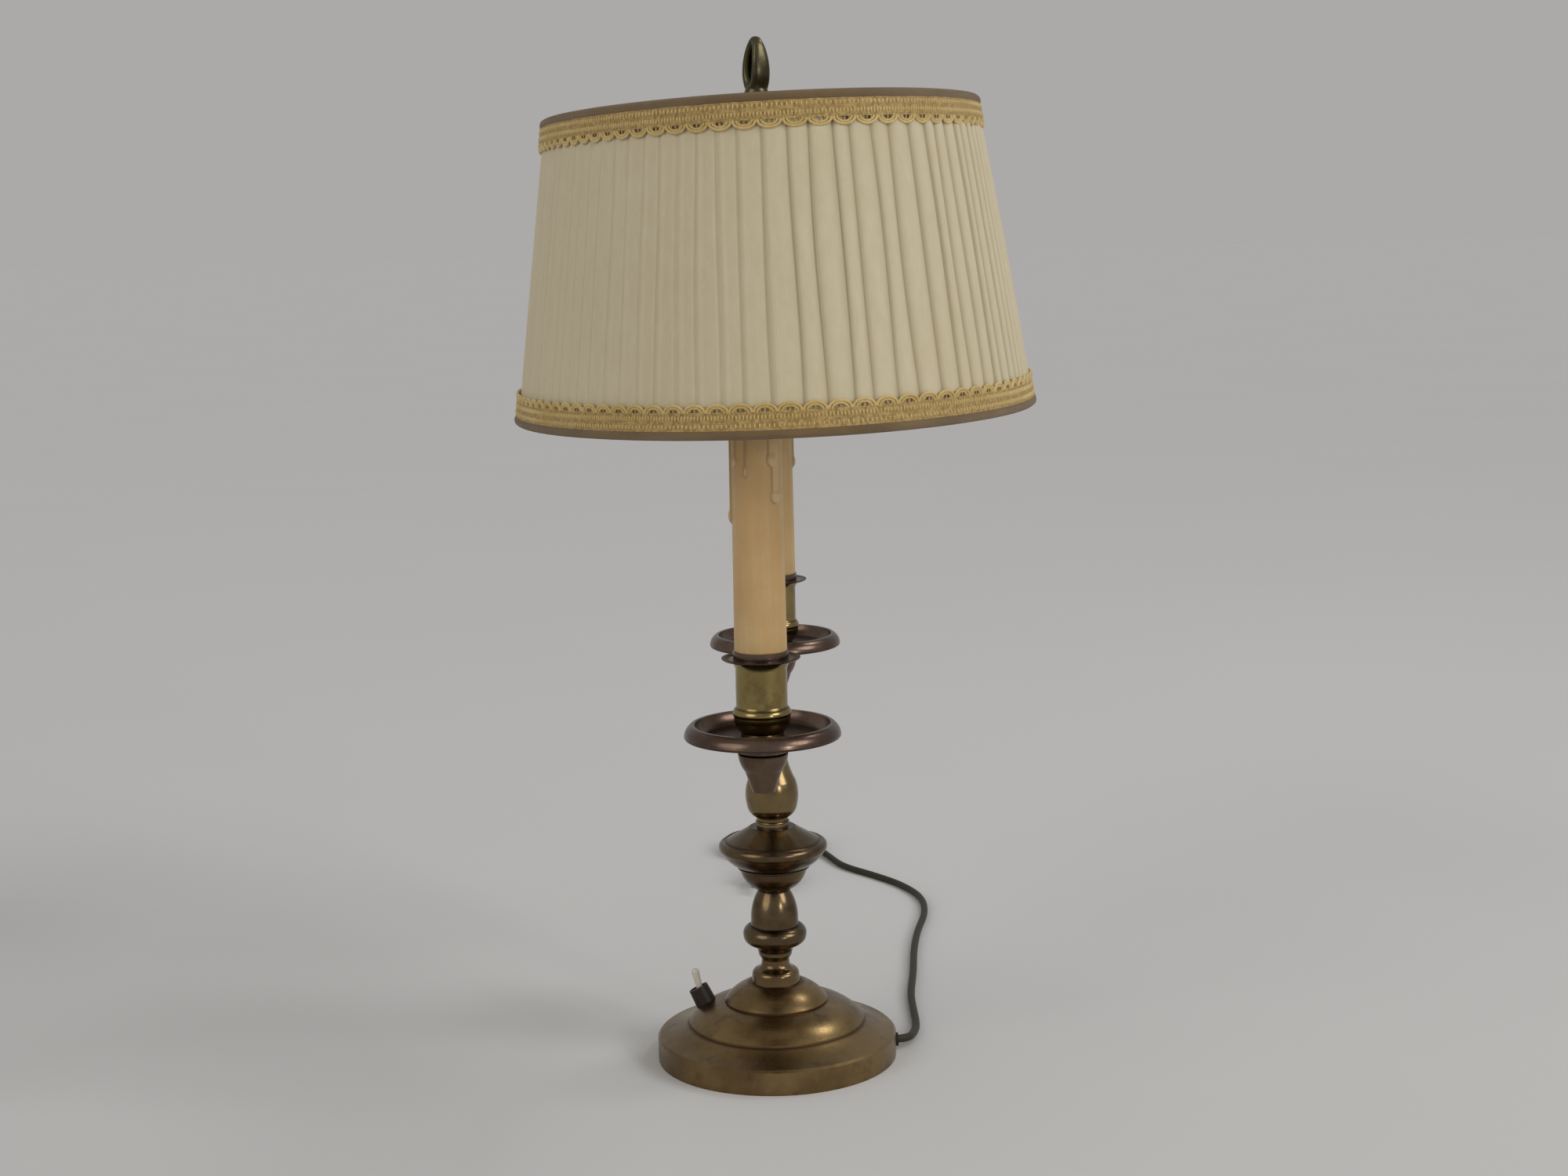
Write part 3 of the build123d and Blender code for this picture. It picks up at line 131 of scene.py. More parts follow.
class Finish(Graph):
    """A material."""
    prefix = "ShaderNode"

    def __init__(self, name, **constants):
        self.material = bpy.data.materials.new(name)
        self.material.use_nodes = True
        super().__init__(self.material.node_tree)
        self.skin = self.tree.nodes["Principled BSDF"]
        self.place = self.node("TexCoord", output="Object")
        self.set(**constants)

    def set(self, **named):
        for name, value in named.items():
            self.put(self.skin.inputs[name.replace("_", " ")], value)

    def noise(self, scale, detail=2.0, roughness=0.5, place=None, stretch=None):
        place = place or self.place
        if stretch:
            place = self.node("Mapping", Vector=place, Scale=stretch)
        return self.node("TexNoise", output="Fac", Vector=place, Scale=scale, Detail=detail,
                         Roughness=roughness)

    def mix(self, factor, one, two):
        return self.node("Mix", dict(data_type="RGBA"), inputs=(factor, one, two))

    def bump(self, height, distance, strength=1.0):
        self.set(Normal=self.node("Bump", Height=height, Distance=distance, Strength=strength))

    def on(self, *objects):
        for item in objects:
            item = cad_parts.get(item) if isinstance(item, str) else item
            item.data.materials.clear()
            item.data.materials.append(self.material)


LEAD_DIAMETER = 0.0042
LEAD_ROUTE = [
    (0.0576, 0.0050, 0.0052), (0.0685, 0.0060, 0.0052), (0.0728, 0.0206, 0.0030), (0.0750, 0.0370, 0.0021),
    (0.0740, 0.0620, 0.0021), (0.0732, 0.0910, 0.0021), (0.0762, 0.1300, 0.0021), (0.0776, 0.1710, 0.0021),
    (0.0812, 0.2120, 0.0021), (0.0876, 0.2490, 0.0021), (0.0870, 0.2840, 0.0021), (0.0754, 0.3140, 0.0021),
    (0.0570, 0.3390, 0.0021), (0.0360, 0.3620, 0.0022),
]
COIL_MIDDLE = (-0.013, 0.413)
COIL_INNER, COIL_PITCH, COIL_RISE, COIL_DIP = 0.0176, 0.0047, 0.0047, 0.0016
COIL_LOW = 0.0029
COIL_DOWN, COIL_CLIMB, COIL_UP = 3.0, 0.5, 3.16
POINTS_PER_TURN = 16
TAIL_BENDS, TAIL_STEP = 3, 0.0087
PLUG_AXIS_Z = 0.00685
HEADING_STEP = 0.001
BEVEL_STEPS, SPLINE_STEPS = 5, 6


def coil_place(turns, spread=1.0):
    """A point of the coil: it winds inwards below, climbs at the middle and winds out on top."""
    if turns <= COIL_DOWN:
        radius, rise = COIL_INNER + COIL_PITCH * (COIL_DOWN - turns), 0.0
    elif turns < COIL_DOWN + COIL_CLIMB:
        part = (turns - COIL_DOWN) / COIL_CLIMB
        radius = COIL_INNER - COIL_DIP * math.sin(math.pi * part)
        rise = COIL_RISE * (1 - math.cos(math.pi * part)) / 2
    else:
        radius, rise = COIL_INNER + COIL_PITCH * (turns - COIL_DOWN - COIL_CLIMB), COIL_RISE
    angle = 2 * math.pi * turns
    return Vector((COIL_MIDDLE[0] + spread * radius * math.cos(angle),
                   COIL_MIDDLE[1] + spread * radius * math.sin(angle), COIL_LOW + rise))


all_turns = COIL_DOWN + COIL_CLIMB + COIL_UP
steps = round(all_turns * POINTS_PER_TURN)
polygon_spread = 1 / math.cos(math.pi / POINTS_PER_TURN)
coil = [coil_place(all_turns * k / steps, polygon_spread) for k in range(1, steps)]
first, last = coil_place(0), coil_place(all_turns)
lead_in = first - Vector((0, LEAD_DIAMETER, 0))
heading = (last - coil_place(all_turns - HEADING_STEP)).normalized()
tail, here, angle = [last], last + heading * LEAD_DIAMETER, math.atan2(heading.y, heading.x)
tail.append(here)
for k in range(TAIL_BENDS + 1):
    turn = angle + k * (-math.pi / 2 - angle) / TAIL_BENDS
    step = Vector((math.cos(turn), math.sin(turn), 0)) * TAIL_STEP
    here = here + step - Vector((0, 0, COIL_LOW + COIL_RISE - PLUG_AXIS_Z if k == 1 else 0))
    tail.append(here)
points = [Vector(p) for p in LEAD_ROUTE]
points += [(points[-1] + lead_in) / 2, lead_in, first] + coil + tail
lead = bpy.data.objects.new("mains_lead", bpy.data.curves.new("mains_lead", "CURVE"))
lead.data.dimensions = "3D"
lead.data.bevel_depth = LEAD_DIAMETER / 2
lead.data.bevel_resolution, lead.data.resolution_u = BEVEL_STEPS, SPLINE_STEPS
lead.data.use_fill_caps = True
spline = lead.data.splines.new("NURBS")
spline.points.add(len(points) - 1)
for point, place in zip(spline.points, points):
    point.co = (*place, 1.0)
spline.order_u = 3
spline.use_endpoint_u = True
bpy.context.collection.objects.link(lead)
sheath = Finish("olive_sheath", Roughness=0.5, Specular_IOR_Level=0.2)
dust = sheath.noise(900, 4).band(0.35, 0.75)
sheath.set(Base_Color=sheath.mix(dust * 0.5, (0.029, 0.027, 0.016), (0.056, 0.051, 0.033)))
sheath.bump(sheath.noise(2500, 2), 0.00008, 0.5)
sheath.on(lead)
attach(lead, "lamp")
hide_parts("cord_run", "cord_coil", "cord_tail")

plug_plastic = Finish("plug_plastic", Roughness=0.5)
plug_plastic.set(Base_Color=plug_plastic.mix(plug_plastic.noise(300, 4), (0.02, 0.018, 0.015),
                                             (0.04, 0.036, 0.03)))
plug_plastic.bump(plug_plastic.noise(1800, 2), 0.0001, 0.4)
plug_plastic.on("plug_body", "coil_tie")
pins = Finish("plug_pins", Metallic=1.0)
pins.set(Base_Color=pins.mix(pins.noise(400, 3), (0.55, 0.5, 0.38), (0.7, 0.62, 0.42)),
         Roughness=pins.noise(700, 3) * 0.2 + 0.2)
pins.on("plug_pins")


# --- The base ---
# A spun brass shell with an upright band, a cove, a dome and a cap, long unpolished: golden brown,
# darker in the creases. An iron disc inside gives it weight and a felt pad covers the underside.
def brass(name, low, high, deep, rough, creases, grain=1.0):
    """Old brass: cloudy, finely rubbed, with darker rings where polish never reached.

    The rings are the creases, each a height on the lamp and a width."""
    finish = Finish(name, Metallic=1.0)
    cloud = finish.noise(28, 5, 0.6).band(0.3, 0.7)
    rub = finish.noise(420, 4, 0.6, stretch=(1, 1, 3))
    colour = finish.mix(cloud, low, high)
    height = finish.place.part("Z")
    grime = finish.noise(70, 5, 0.65).band(0.5, 0.75) * 0.6
    for z, width in creases:
        ring = 1 - (height - z).maths("ABSOLUTE").band(0.0, width)
        grime = grime.maths("MAXIMUM", ring * 0.85)
    colour = finish.mix(grime, colour, deep)
    finish.set(Base_Color=colour, Roughness=rub * (rough[1] - rough[0]) + grime * 0.15 + rough[0])
    finish.bump(finish.noise(900, 3) + finish.noise(60, 3) * 2, 0.00005 * grain, 0.5)
    return finish


BASE_CREASES = [(0.0189, 0.0011), (0.0304, 0.0007), (0.0404, 0.0009)]
base_brass = brass("base_brass", (0.155, 0.1, 0.046), (0.27, 0.185, 0.084), (0.075, 0.043, 0.026),
                   (0.2, 0.38), BASE_CREASES)
base_brass.on("base_shell")
iron = Finish("cast_iron", Metallic=0.6, Roughness=0.75)
iron.set(Base_Color=iron.mix(iron.noise(160, 5), (0.05, 0.045, 0.042), (0.12, 0.1, 0.09)))
iron.bump(iron.noise(700, 4), 0.0004)
iron.on("base_weight")
felt = Finish("green_felt", Roughness=0.95, Sheen_Weight=0.4)
felt.set(Base_Color=felt.mix(felt.noise(1400, 5, 0.7), (0.03, 0.07, 0.035), (0.08, 0.13, 0.07)))
felt.bump(felt.noise(2200, 3), 0.0004)
felt.on("base_felt")
plain_steel = Finish("plain_steel", Metallic=1.0)
plain_steel.set(Base_Color=plain_steel.mix(plain_steel.noise(200, 4), (0.33, 0.32, 0.3), (0.5, 0.49, 0.46)),
                Roughness=plain_steel.noise(500, 4) * 0.25 + 0.28)
plain_steel.on("pipe_washer", "lamp_pipe", "frame_ring_top", "frame_ring_bottom", "frame_struts",
               "frame_spider", "bulb_cap_front", "bulb_cap_back")

# --- The stem ---
# Seven turned brass pieces threaded on a pipe: foot, knob, acorn, bowl, disc, waist and vase,
# and the hub that holds the arms. Grime has settled where one piece meets the next.
STEM_CREASES = [(0.0572, 0.0008), (0.071, 0.0009), (0.0906, 0.0014), (0.1035, 0.0008), (0.1166, 0.0008),
                (0.1245, 0.0012), (0.1295, 0.001), (0.1635, 0.0012), (0.1865, 0.001)]
stem_brass = brass("stem_brass", (0.15, 0.1, 0.052), (0.26, 0.19, 0.09), (0.065, 0.038, 0.028),
                   (0.14, 0.3), STEM_CREASES, 0.6)
stem_brass.on("stem_foot", "stem_waist", "stem_vase", "arm_hub", "hub_cap", "pipe_nuts", "shade_rod",
              "seat_nut")
# Painted shade: the stem brass again, made darker, for the knob, acorn, bowl and disc, whose surfaces sit dim
# under the arms.
stem_brass_painted_shade = brass("shaded_stem_brass_copy", (0.075, 0.047, 0.03), (0.16, 0.115, 0.06), (0.04, 0.024, 0.021),
                   (0.14, 0.3), STEM_CREASES, 0.6)
stem_brass_painted_shade.on("stem_knob", "stem_acorn", "stem_bowl", "stem_disc")

# --- The arms, pans and cups ---
# Bent brass tubes that rise through a cone, a spun drip pan, a turned cup and its lip. The arms,
# cones, pans and lips are darker and redder than the cups: partly a reddish patina, partly painted
# shade for their dim undersides.
ARM_CREASES, CUP_CREASES = [(0.1904, 0.001)], [(0.2125, 0.0009), (0.1995, 0.003)]
PAN_CREASES = [(0.1986, 0.001), (0.2362, 0.0008)]
# Darker brass: partly patina, partly painted shade on the arms' and cones' undersides.
arm_brass = brass("arm_brass", (0.095, 0.061, 0.045), (0.16, 0.11, 0.07), (0.045, 0.028, 0.024),
                  (0.18, 0.34), ARM_CREASES)
arm_brass.on("arm_front", "arm_back", "arm_cone_front", "arm_cone_back", "arm_nut_front", "arm_nut_back")
cup_brass = brass("cup_brass", (0.2, 0.15, 0.055), (0.34, 0.265, 0.105), (0.07, 0.042, 0.026),
                  (0.12, 0.24), CUP_CREASES, 0.3)
cup_brass.on("candle_cup_front", "candle_cup_back")
# Darker, redder brass: partly patina, partly painted shade on the pans' undersides and the lips.
pan_brass = brass("pan_brass", (0.095, 0.062, 0.05), (0.175, 0.122, 0.09), (0.045, 0.027, 0.026),
                  (0.18, 0.34), PAN_CREASES, 0.6)
pan_brass.on("drip_pan_front", "drip_pan_back", "cup_lip_front", "cup_lip_back")

# --- The candle sleeves ---
# Cast resin tubes that look like beeswax, tan with drips down from the top. The drips are painted
# paler in the middle, partly paler wax and partly a painted highlight, and darker at their edges as
# painted shade. Each slips over a lampholder, tapers a little upwards and has a soft,
# uneven upper lip.
SLEEVE_LOW, SLEEVE_HIGH = 0.2392, 0.3462
SLEEVE_FOOT, SLEEVE_HEAD, SLEEVE_WALL = 0.0123, 0.0116, 0.0011
ARM_REACH = 0.1217
# Each drip's direction in degrees, its length as a share of the sleeve, and its size.
DRIPS = [(-45, 0.35, 1.2), (-54, 0.19, 1.1), (-30, 0.07, 1.0), (-113, 0.24, 0.55), (40, 0.16, 0.8),
         (96, 0.12, 0.9), (146, 0.2, 0.7), (181, 0.44, 0.9), (214, 0.2, 0.8)]
DRIP_HALF_WIDTH, DRIP_STAND, DRIP_BEAD = 0.0019, 0.0014, 0.0034
RUN_STAND, BEAD_STAND, BEAD_WIDTH = 0.8, 1.4, 1.25
LIP_DEPTH, LIP_STAND, LIP_SWELL, LIP_WAVES = 0.006, 0.0005, 0.4, 5
SLEEVE_COLUMNS, SLEEVE_ROWS = 180, 130
wax = Finish("beeswax_resin", Subsurface_Weight=0.12, Subsurface_Radius=(0.004, 0.002, 0.001))
streak = wax.noise(1.0, 5, 0.6, stretch=(170, 170, 9)).band(0.35, 0.7)
body = wax.mix(wax.noise(45, 5, 0.6).band(0.3, 0.7), (0.5, 0.335, 0.145), (0.57, 0.405, 0.195))
run = wax.node("Attribute", dict(attribute_name="drip"), output="Fac")
# The drips' edges are darkened as painted shade, and their middles lightened, partly as a painted highlight.
edge = run.band(0.02, 0.3) * (1 - run.band(0.4, 0.8))
plain = wax.mix(streak * 0.6, body, (0.52, 0.31, 0.12))
drip_edge_shaded = wax.mix(edge * 0.55, plain, (0.3, 0.19, 0.08))
wax.set(Base_Color=wax.mix(run.band(0.5, 0.9) * 0.45, drip_edge_shaded, (0.66, 0.5, 0.27)),
        Roughness=wax.noise(300, 3) * 0.15 + 0.36)
wax.bump(wax.noise(260, 4) + wax.noise(1.0, 3, 0.5, stretch=(30, 30, 400)) * 0.5, 0.00012, 0.5)


def drip_stand(turn, z):
    """How far the wax stands out of the plain sleeve at a place on it."""
    lip = max(0.0, (z - SLEEVE_HIGH + LIP_DEPTH) / LIP_DEPTH)
    stand = LIP_STAND * lip * (1 + LIP_SWELL * math.sin(LIP_WAVES * turn))
    for degrees, share, size in DRIPS:
        aside = abs((turn - math.radians(degrees) + math.pi) % (2 * math.pi) - math.pi) * SLEEVE_FOOT
        end = SLEEVE_HIGH - share * (SLEEVE_HIGH - SLEEVE_LOW) + DRIP_BEAD
        run = 1 - (aside / (DRIP_HALF_WIDTH * size)) ** 2
        bead = 1 - (aside / (DRIP_HALF_WIDTH * size * BEAD_WIDTH)) ** 2 - ((z - end) / DRIP_BEAD) ** 2
        if z > end and run > 0:
            stand = max(stand, DRIP_STAND * size * RUN_STAND * run ** 0.5)
        if bead > 0:
            stand = max(stand, DRIP_STAND * size * BEAD_STAND * bead ** 0.5)
    return stand


def grid_mesh(name, rows, **marks):
    """A mesh through closed rows of points, all of one length, with UVs along and up the rows."""
    across, mesh = len(rows[0]), bpy.data.meshes.new(name)
    faces, uvs = [], []
    for r in range(len(rows) - 1):
        for c in range(across):
            d = (c + 1) % across
            faces.append((r * across + c, r * across + d, (r + 1) * across + d, (r + 1) * across + c))
            u, v = (c / across, (c + 1) / across), (r / (len(rows) - 1), (r + 1) / (len(rows) - 1))
            uvs += [(u[0], v[0]), (u[1], v[0]), (u[1], v[1]), (u[0], v[1])]
    mesh.from_pydata([p for row in rows for p in row], [], faces)
    layer = mesh.uv_layers.new(name="weave")
    for item, uv in zip(layer.data, uvs):
        item.uv = uv
    for mark, values in marks.items():
        mesh.attributes.new(mark, "FLOAT", "POINT").data.foreach_set("value", values)
    mesh.shade_smooth()
    piece = bpy.data.objects.new(name, mesh)
    bpy.context.collection.objects.link(piece)
    return piece


for side, way in (("front", 1), ("back", -1)):
    rows, drip = [], []
    for r in range(SLEEVE_ROWS + 1):
        z = SLEEVE_LOW + (SLEEVE_HIGH - SLEEVE_LOW) * r / SLEEVE_ROWS
        radius = SLEEVE_FOOT + (SLEEVE_HEAD - SLEEVE_FOOT) * r / SLEEVE_ROWS
        row = []
        for c in range(SLEEVE_COLUMNS):
            a = 2 * math.pi * c / SLEEVE_COLUMNS
            stand = drip_stand(a, z)
            out = radius + stand
            row.append(Vector((way * out * math.cos(a), way * (out * math.sin(a) - ARM_REACH), z)))
            drip.append(stand / DRIP_STAND)
        rows.append(row)
    sleeve = grid_mesh("drip_sleeve_" + side, rows, drip=drip)
    shell = sleeve.modifiers.new("wall", "SOLIDIFY")
    shell.thickness, shell.offset = SLEEVE_WALL, -1.0
    wax.on(sleeve)
    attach(sleeve, "lamp")
    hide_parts("candle_sleeve_" + side)

# --- The holders, bulbs and switch ---
# Brown bakelite lampholders stand inside the sleeves and hold frosted candle bulbs. The switch on
# the base is of the same bakelite, with a cream lever.
bakelite = Finish("holder_bakelite", Roughness=0.45, Specular_IOR_Level=0.25)
bakelite.set(Base_Color=bakelite.mix(bakelite.noise(300, 4), (0.015, 0.009, 0.008), (0.032, 0.018, 0.014)))
bakelite.on("lampholder_front", "lampholder_back", "switch_collar", "switch_body", "cord_collar")
bulb = Finish("frosted_bulb", Roughness=0.35, Transmission_Weight=0.6, IOR=1.45)
bulb.set(Base_Color=bulb.mix(bulb.noise(50, 2), (0.85, 0.85, 0.82), (0.92, 0.92, 0.9)))
bulb.on("bulb_glass_front", "bulb_glass_back")
cream = Finish("cream_lever", Roughness=0.35)
cream.set(Base_Color=cream.mix(cream.noise(400, 3), (0.55, 0.52, 0.43), (0.66, 0.63, 0.54)))
cream.on("switch_lever")

# --- The ring finial ---
# A small cast brass ring on a threaded shank, thick at its sides and drawn out to a blunt tip.
# It screws down on the rod over a washer and holds the shade.
RING_LOW, RING_TOP = 0.4990, 0.5271
RING_HALF_WIDTH, RING_PEAR = 0.0050, 0.16
RING_TURN = math.radians(-60)
RING_DEEP, RING_FLAT, RING_MARGIN = 0.0049, 0.0021, 0.0026
TIP_THINNING, TIP_SWELL, FOOT_SWELL = 0.5, 0.0005, 0.0012
RING_SQUARENESS = 0.8
RING_STEPS, RING_SIDES, SHANK_SIDES = 72, 24, 64
SAME_POINT = 1e-6
FINIAL_CREASES = [(0.4921, 0.0006)]
SHANK_SECTION = [(0.0, 0.4897), (0.0067, 0.4897), (0.0067, 0.4921), (0.0060, 0.4926), (0.0060, 0.5000),
                 (0.0052, 0.5022), (0.0034, 0.5036), (0.0, 0.5038)]
finial_brass = brass("finial_brass", (0.07, 0.062, 0.036), (0.13, 0.115, 0.06), (0.03, 0.026, 0.02),
                     (0.2, 0.38), FINIAL_CREASES, 0.6)
finial_brass.on("finial_washer")
ring_rows, reach = [], (RING_TOP - RING_LOW) / 2 - RING_MARGIN
for k in range(RING_STEPS + 1):
    t = 2 * math.pi * k / RING_STEPS
    top, foot = (1 - math.cos(t)) / 2, (1 + math.cos(t)) / 2
    deep = RING_DEEP * (1 - TIP_THINNING * top ** 3)
    flat = RING_FLAT + TIP_SWELL * top ** 6 + FOOT_SWELL * foot ** 4
    middle = Vector((RING_HALF_WIDTH * math.sin(t) * (1 + RING_PEAR * math.cos(t)), 0,
                     (RING_LOW + RING_TOP) / 2 - reach * math.cos(t)))
    ahead = Vector((RING_HALF_WIDTH * (math.cos(t) + RING_PEAR * math.cos(2 * t)), 0, reach * math.sin(t)))
    ahead.normalize()
    row = []
    for j in range(RING_SIDES):
        a, b = math.cos(2 * math.pi * j / RING_SIDES), math.sin(2 * math.pi * j / RING_SIDES)
        across = flat * math.copysign(abs(a) ** RING_SQUARENESS, a)
        row.append(middle + Vector((ahead.z, 0, -ahead.x)) * across
                   + Vector((0, 1, 0)) * deep * math.copysign(abs(b) ** RING_SQUARENESS, b))
    ring_rows.append(row)
shank_turns = [2 * math.pi * c / SHANK_SIDES for c in range(SHANK_SIDES)]
shank_rows = [[Vector((radius * math.cos(t), radius * math.sin(t), z)) for t in shank_turns]
              for radius, z in SHANK_SECTION]
turned = Matrix.Rotation(RING_TURN, 3, "Z")
finial_meshes = [grid_mesh("ring_finial_ring", [[turned @ p for p in row] for row in ring_rows]),
                 grid_mesh("ring_finial_shank", shank_rows)]
for piece in finial_meshes:
    shell = bmesh.new()
    shell.from_mesh(piece.data)
    bmesh.ops.remove_doubles(shell, verts=shell.verts, dist=SAME_POINT)
    bmesh.ops.recalc_face_normals(shell, faces=shell.faces)
    shell.to_mesh(piece.data)
    shell.free()
    finial_brass.on(piece)
    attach(piece, "finial")
    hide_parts("ring_finial")

# --- The shade's cloth ---
# One long strip of ivory cotton, gathered into some ninety soft upright folds on an oval frame
# that is wider at the bottom. On the right the folds are deep and round, elsewhere they are nearly
# flat with a thin raised edge, and no two are alike. Painted shade darkens the fold valleys, most
# of all on the right.
SHADE_TOP, SHADE_HEIGHT, SHADE_FLARE = 0.4907, 0.1492, 0.0225
SHADE_SHORT, SHADE_LONG, SHADE_TURN = 0.1052, 0.1611, math.radians(9.3)
SEAT = Vector((0, 0, 0.4864))
SHADE_NOD, SHADE_LEAN = math.radians(-0.51), math.radians(-1.71)
CLOTH_EDGE = 0.0012
FOLDS, COLUMNS_PER_FOLD, CLOTH_ROWS = 92, 12, 34
CLOTH_THICKNESS = 0.0004
FOLD_WIDTHS, FOLD_DEPTHS, FOLD_EDGES, FOLD_DRIFT = (0.78, 1.25), (0.7, 1.0), (0.1, 0.3), 0.16
FOLD_STAND, FOLD_SINK, FLAT_BELLY, ROUND_BELLY = 0.0012, 0.0004, 0.0002, 0.0010
DEEP_FROM_X = 0.03
OVAL_STEPS = 4000


def shade_place(turn, z, out):
    """A point on the shade's oval at a height, moved outwards by a distance."""
    grow = SHADE_FLARE * (SHADE_TOP - z) / SHADE_HEIGHT + out
    x, y = (SHADE_SHORT + grow) * math.cos(turn), (SHADE_LONG + grow) * math.sin(turn)
    level = Vector((x, y, z)) - SEAT
    level.rotate(Matrix.Rotation(SHADE_TURN, 3, "Z"))
    level.rotate(Matrix.Rotation(SHADE_LEAN, 3, "Y"))
    level.rotate(Matrix.Rotation(SHADE_NOD, 3, "X"))
    return level + SEAT


def oval_turns(shares):
    """The oval's parameter at shares of the way round it, from 0 to 1."""
    rim = [shade_place(2 * math.pi * k / OVAL_STEPS, SHADE_TOP, 0) for k in range(OVAL_STEPS + 1)]
    way = [0.0]
    for a, b in zip(rim, rim[1:]):
        way.append(way[-1] + (b - a).length)
    turns, k = [], 0
    for share in shares:
        while k < OVAL_STEPS - 1 and way[k + 1] < share * way[-1]:
            k += 1
        turns.append(2 * math.pi * (k + (share * way[-1] - way[k]) / (way[k + 1] - way[k])) / OVAL_STEPS)
    return turns


draw = random.Random(7)
widths = [draw.uniform(*FOLD_WIDTHS) for _ in range(FOLDS)]
ends = [sum(widths[:k]) / sum(widths) for k in range(FOLDS + 1)]
depths = [draw.uniform(*FOLD_DEPTHS) for _ in range(FOLDS)]
edges = [draw.uniform(*FOLD_EDGES) for _ in range(FOLDS)]
drifts = [draw.uniform(-FOLD_DRIFT, FOLD_DRIFT) for _ in range(FOLDS)]
shares = [ends[k] + (ends[k + 1] - ends[k]) * c / COLUMNS_PER_FOLD
          for k in range(FOLDS) for c in range(COLUMNS_PER_FOLD)]
turns = oval_turns(shares)
cloth_rows, valley = [], []
for r in range(CLOTH_ROWS + 1):
    up = r / CLOTH_ROWS
    z = SHADE_TOP - SHADE_HEIGHT + CLOTH_EDGE + up * (SHADE_HEIGHT - 2 * CLOTH_EDGE)
    belly = math.sin(math.pi * up) ** 0.5
    row = []
    for k in range(FOLDS):
        start = k * COLUMNS_PER_FOLD
        width = (turns[(start + COLUMNS_PER_FOLD) % len(turns)] - turns[start]) % (2 * math.pi)
        drift = [drifts[j % FOLDS] * width * math.sin(math.pi * up) * math.sin(2.2 * up + j)
                 for j in (k, k + 1)]
        x = shade_place(turns[start], z, 0).x
        right = max(0.0, min(1.0, (x + DEEP_FROM_X) / (2 * DEEP_FROM_X)))
        for c in range(COLUMNS_PER_FOLD):
            u = c / COLUMNS_PER_FOLD
            round_fold = math.sin(math.pi * u ** 0.85) ** 0.62 if c else 0.0
            flat_fold = 0.32 + 0.3 * u + 0.38 * math.exp(-((u - edges[k]) / 0.1) ** 2) if c else 0.12
            swell = round_fold * right + flat_fold * (1 - right)
            stand = FOLD_STAND + (FLAT_BELLY + ROUND_BELLY * right) * belly
            out = stand * depths[k] * swell - FOLD_SINK
            turn = turns[start + c] + drift[0] * (1 - u) + drift[1] * u
            row.append(shade_place(turn, z, out))
            # Painted shade in each fold's valley, strongest on the right where the folds are deep.
            valley.append((1 - swell) ** 1.5 * (0.25 + 0.75 * right))
    cloth_rows.append(row)
shade_cloth = grid_mesh("pleated_cloth", cloth_rows, valley=valley)
thick = shade_cloth.modifiers.new("thick", "SOLIDIFY")
thick.thickness, thick.offset = CLOTH_THICKNESS, -1.0
ivory = Finish("ivory_cotton", Roughness=0.88, Sheen_Weight=0.15)
weave_place = ivory.node("TexCoord", output="UV")
thread = ivory.node("TexWave", dict(wave_type="BANDS", bands_direction="X"), output="Fac",
                    Vector=weave_place, Scale=300.0, Distortion=1.5, Detail=2.0)
slub = ivory.noise(1.0, 4, 0.6, weave_place, (260, 14, 1))
age = ivory.noise(9, 5, 0.6).band(0.35, 0.75)
colour = ivory.mix(slub.band(0.3, 0.7) * 0.5, (0.6, 0.525, 0.36), (0.66, 0.6, 0.43))
colour = ivory.mix(age * 0.4, colour, (0.54, 0.455, 0.285))
specks = ivory.node("TexVoronoi", dict(feature="F1"), output="Distance", Vector=ivory.place, Scale=18.0)
colour = ivory.mix((1 - specks.band(0.02, 0.045)) * 0.35, colour, (0.3, 0.24, 0.16))
fold_valley_shade_mark = ivory.node("Attribute", dict(attribute_name="valley"), output="Fac")
# The fold valleys are darkened: painted shade.
ivory.set(Base_Color=ivory.mix(fold_valley_shade_mark * 0.82, colour, (0.37, 0.3, 0.18)))
ivory.bump(thread * 0.5 + slub, 0.00012, 0.5)
ivory.on(shade_cloth)
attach(shade_cloth, "shade")
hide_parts("shade_fabric")
middle = cloth_rows[CLOTH_ROWS // 2]
cloth_width = sum((a - b).length for a, b in zip(middle, middle[1:] + middle[:1]))
cloth_drop = (cloth_rows[0][0] - cloth_rows[-1][0]).length

# --- The bias tapes ---
# A strip of brown-gold twill folded over each edge of the shade, cloth and wire together, and
# sewn down. It looks like a soft round cord from outside.
# Its section: how far out from the shade, and how far from the edge.
TAPE_SECTION = [(0.0014, 0.0043), (0.0020, 0.0040), (0.0024, 0.0030), (0.0025, 0.0019), (0.0021, 0.0008),
                (0.0011, 0.0001), (-0.0004, -0.0001), (-0.0019, 0.0000), (-0.0032, 0.0004), (-0.0041, 0.0016),
                (-0.0043, 0.0032), (-0.0040, 0.0048), (-0.0036, 0.0054)]
TAPE_COLUMNS = 360
TAPE_PUCKER, TAPE_THICKNESS = 0.00012, 0.0004
twill = Finish("bias_twill", Roughness=0.85, Sheen_Weight=0.2)
rib = twill.node("TexWave", dict(wave_type="BANDS", bands_direction="DIAGONAL"), output="Fac",
                 Vector=twill.node("TexCoord", output="UV"), Scale=160.0, Distortion=2.0, Detail=2.0)
shade_of = twill.noise(26, 4, 0.6).band(0.3, 0.7)
ribbed = twill.mix(rib, (0.155, 0.095, 0.037), (0.205, 0.13, 0.052))
twill.set(Base_Color=twill.mix(shade_of, ribbed, (0.25, 0.16, 0.065)))
twill.bump(rib + twill.noise(600, 3), 0.00025, 0.6)
tapes = []
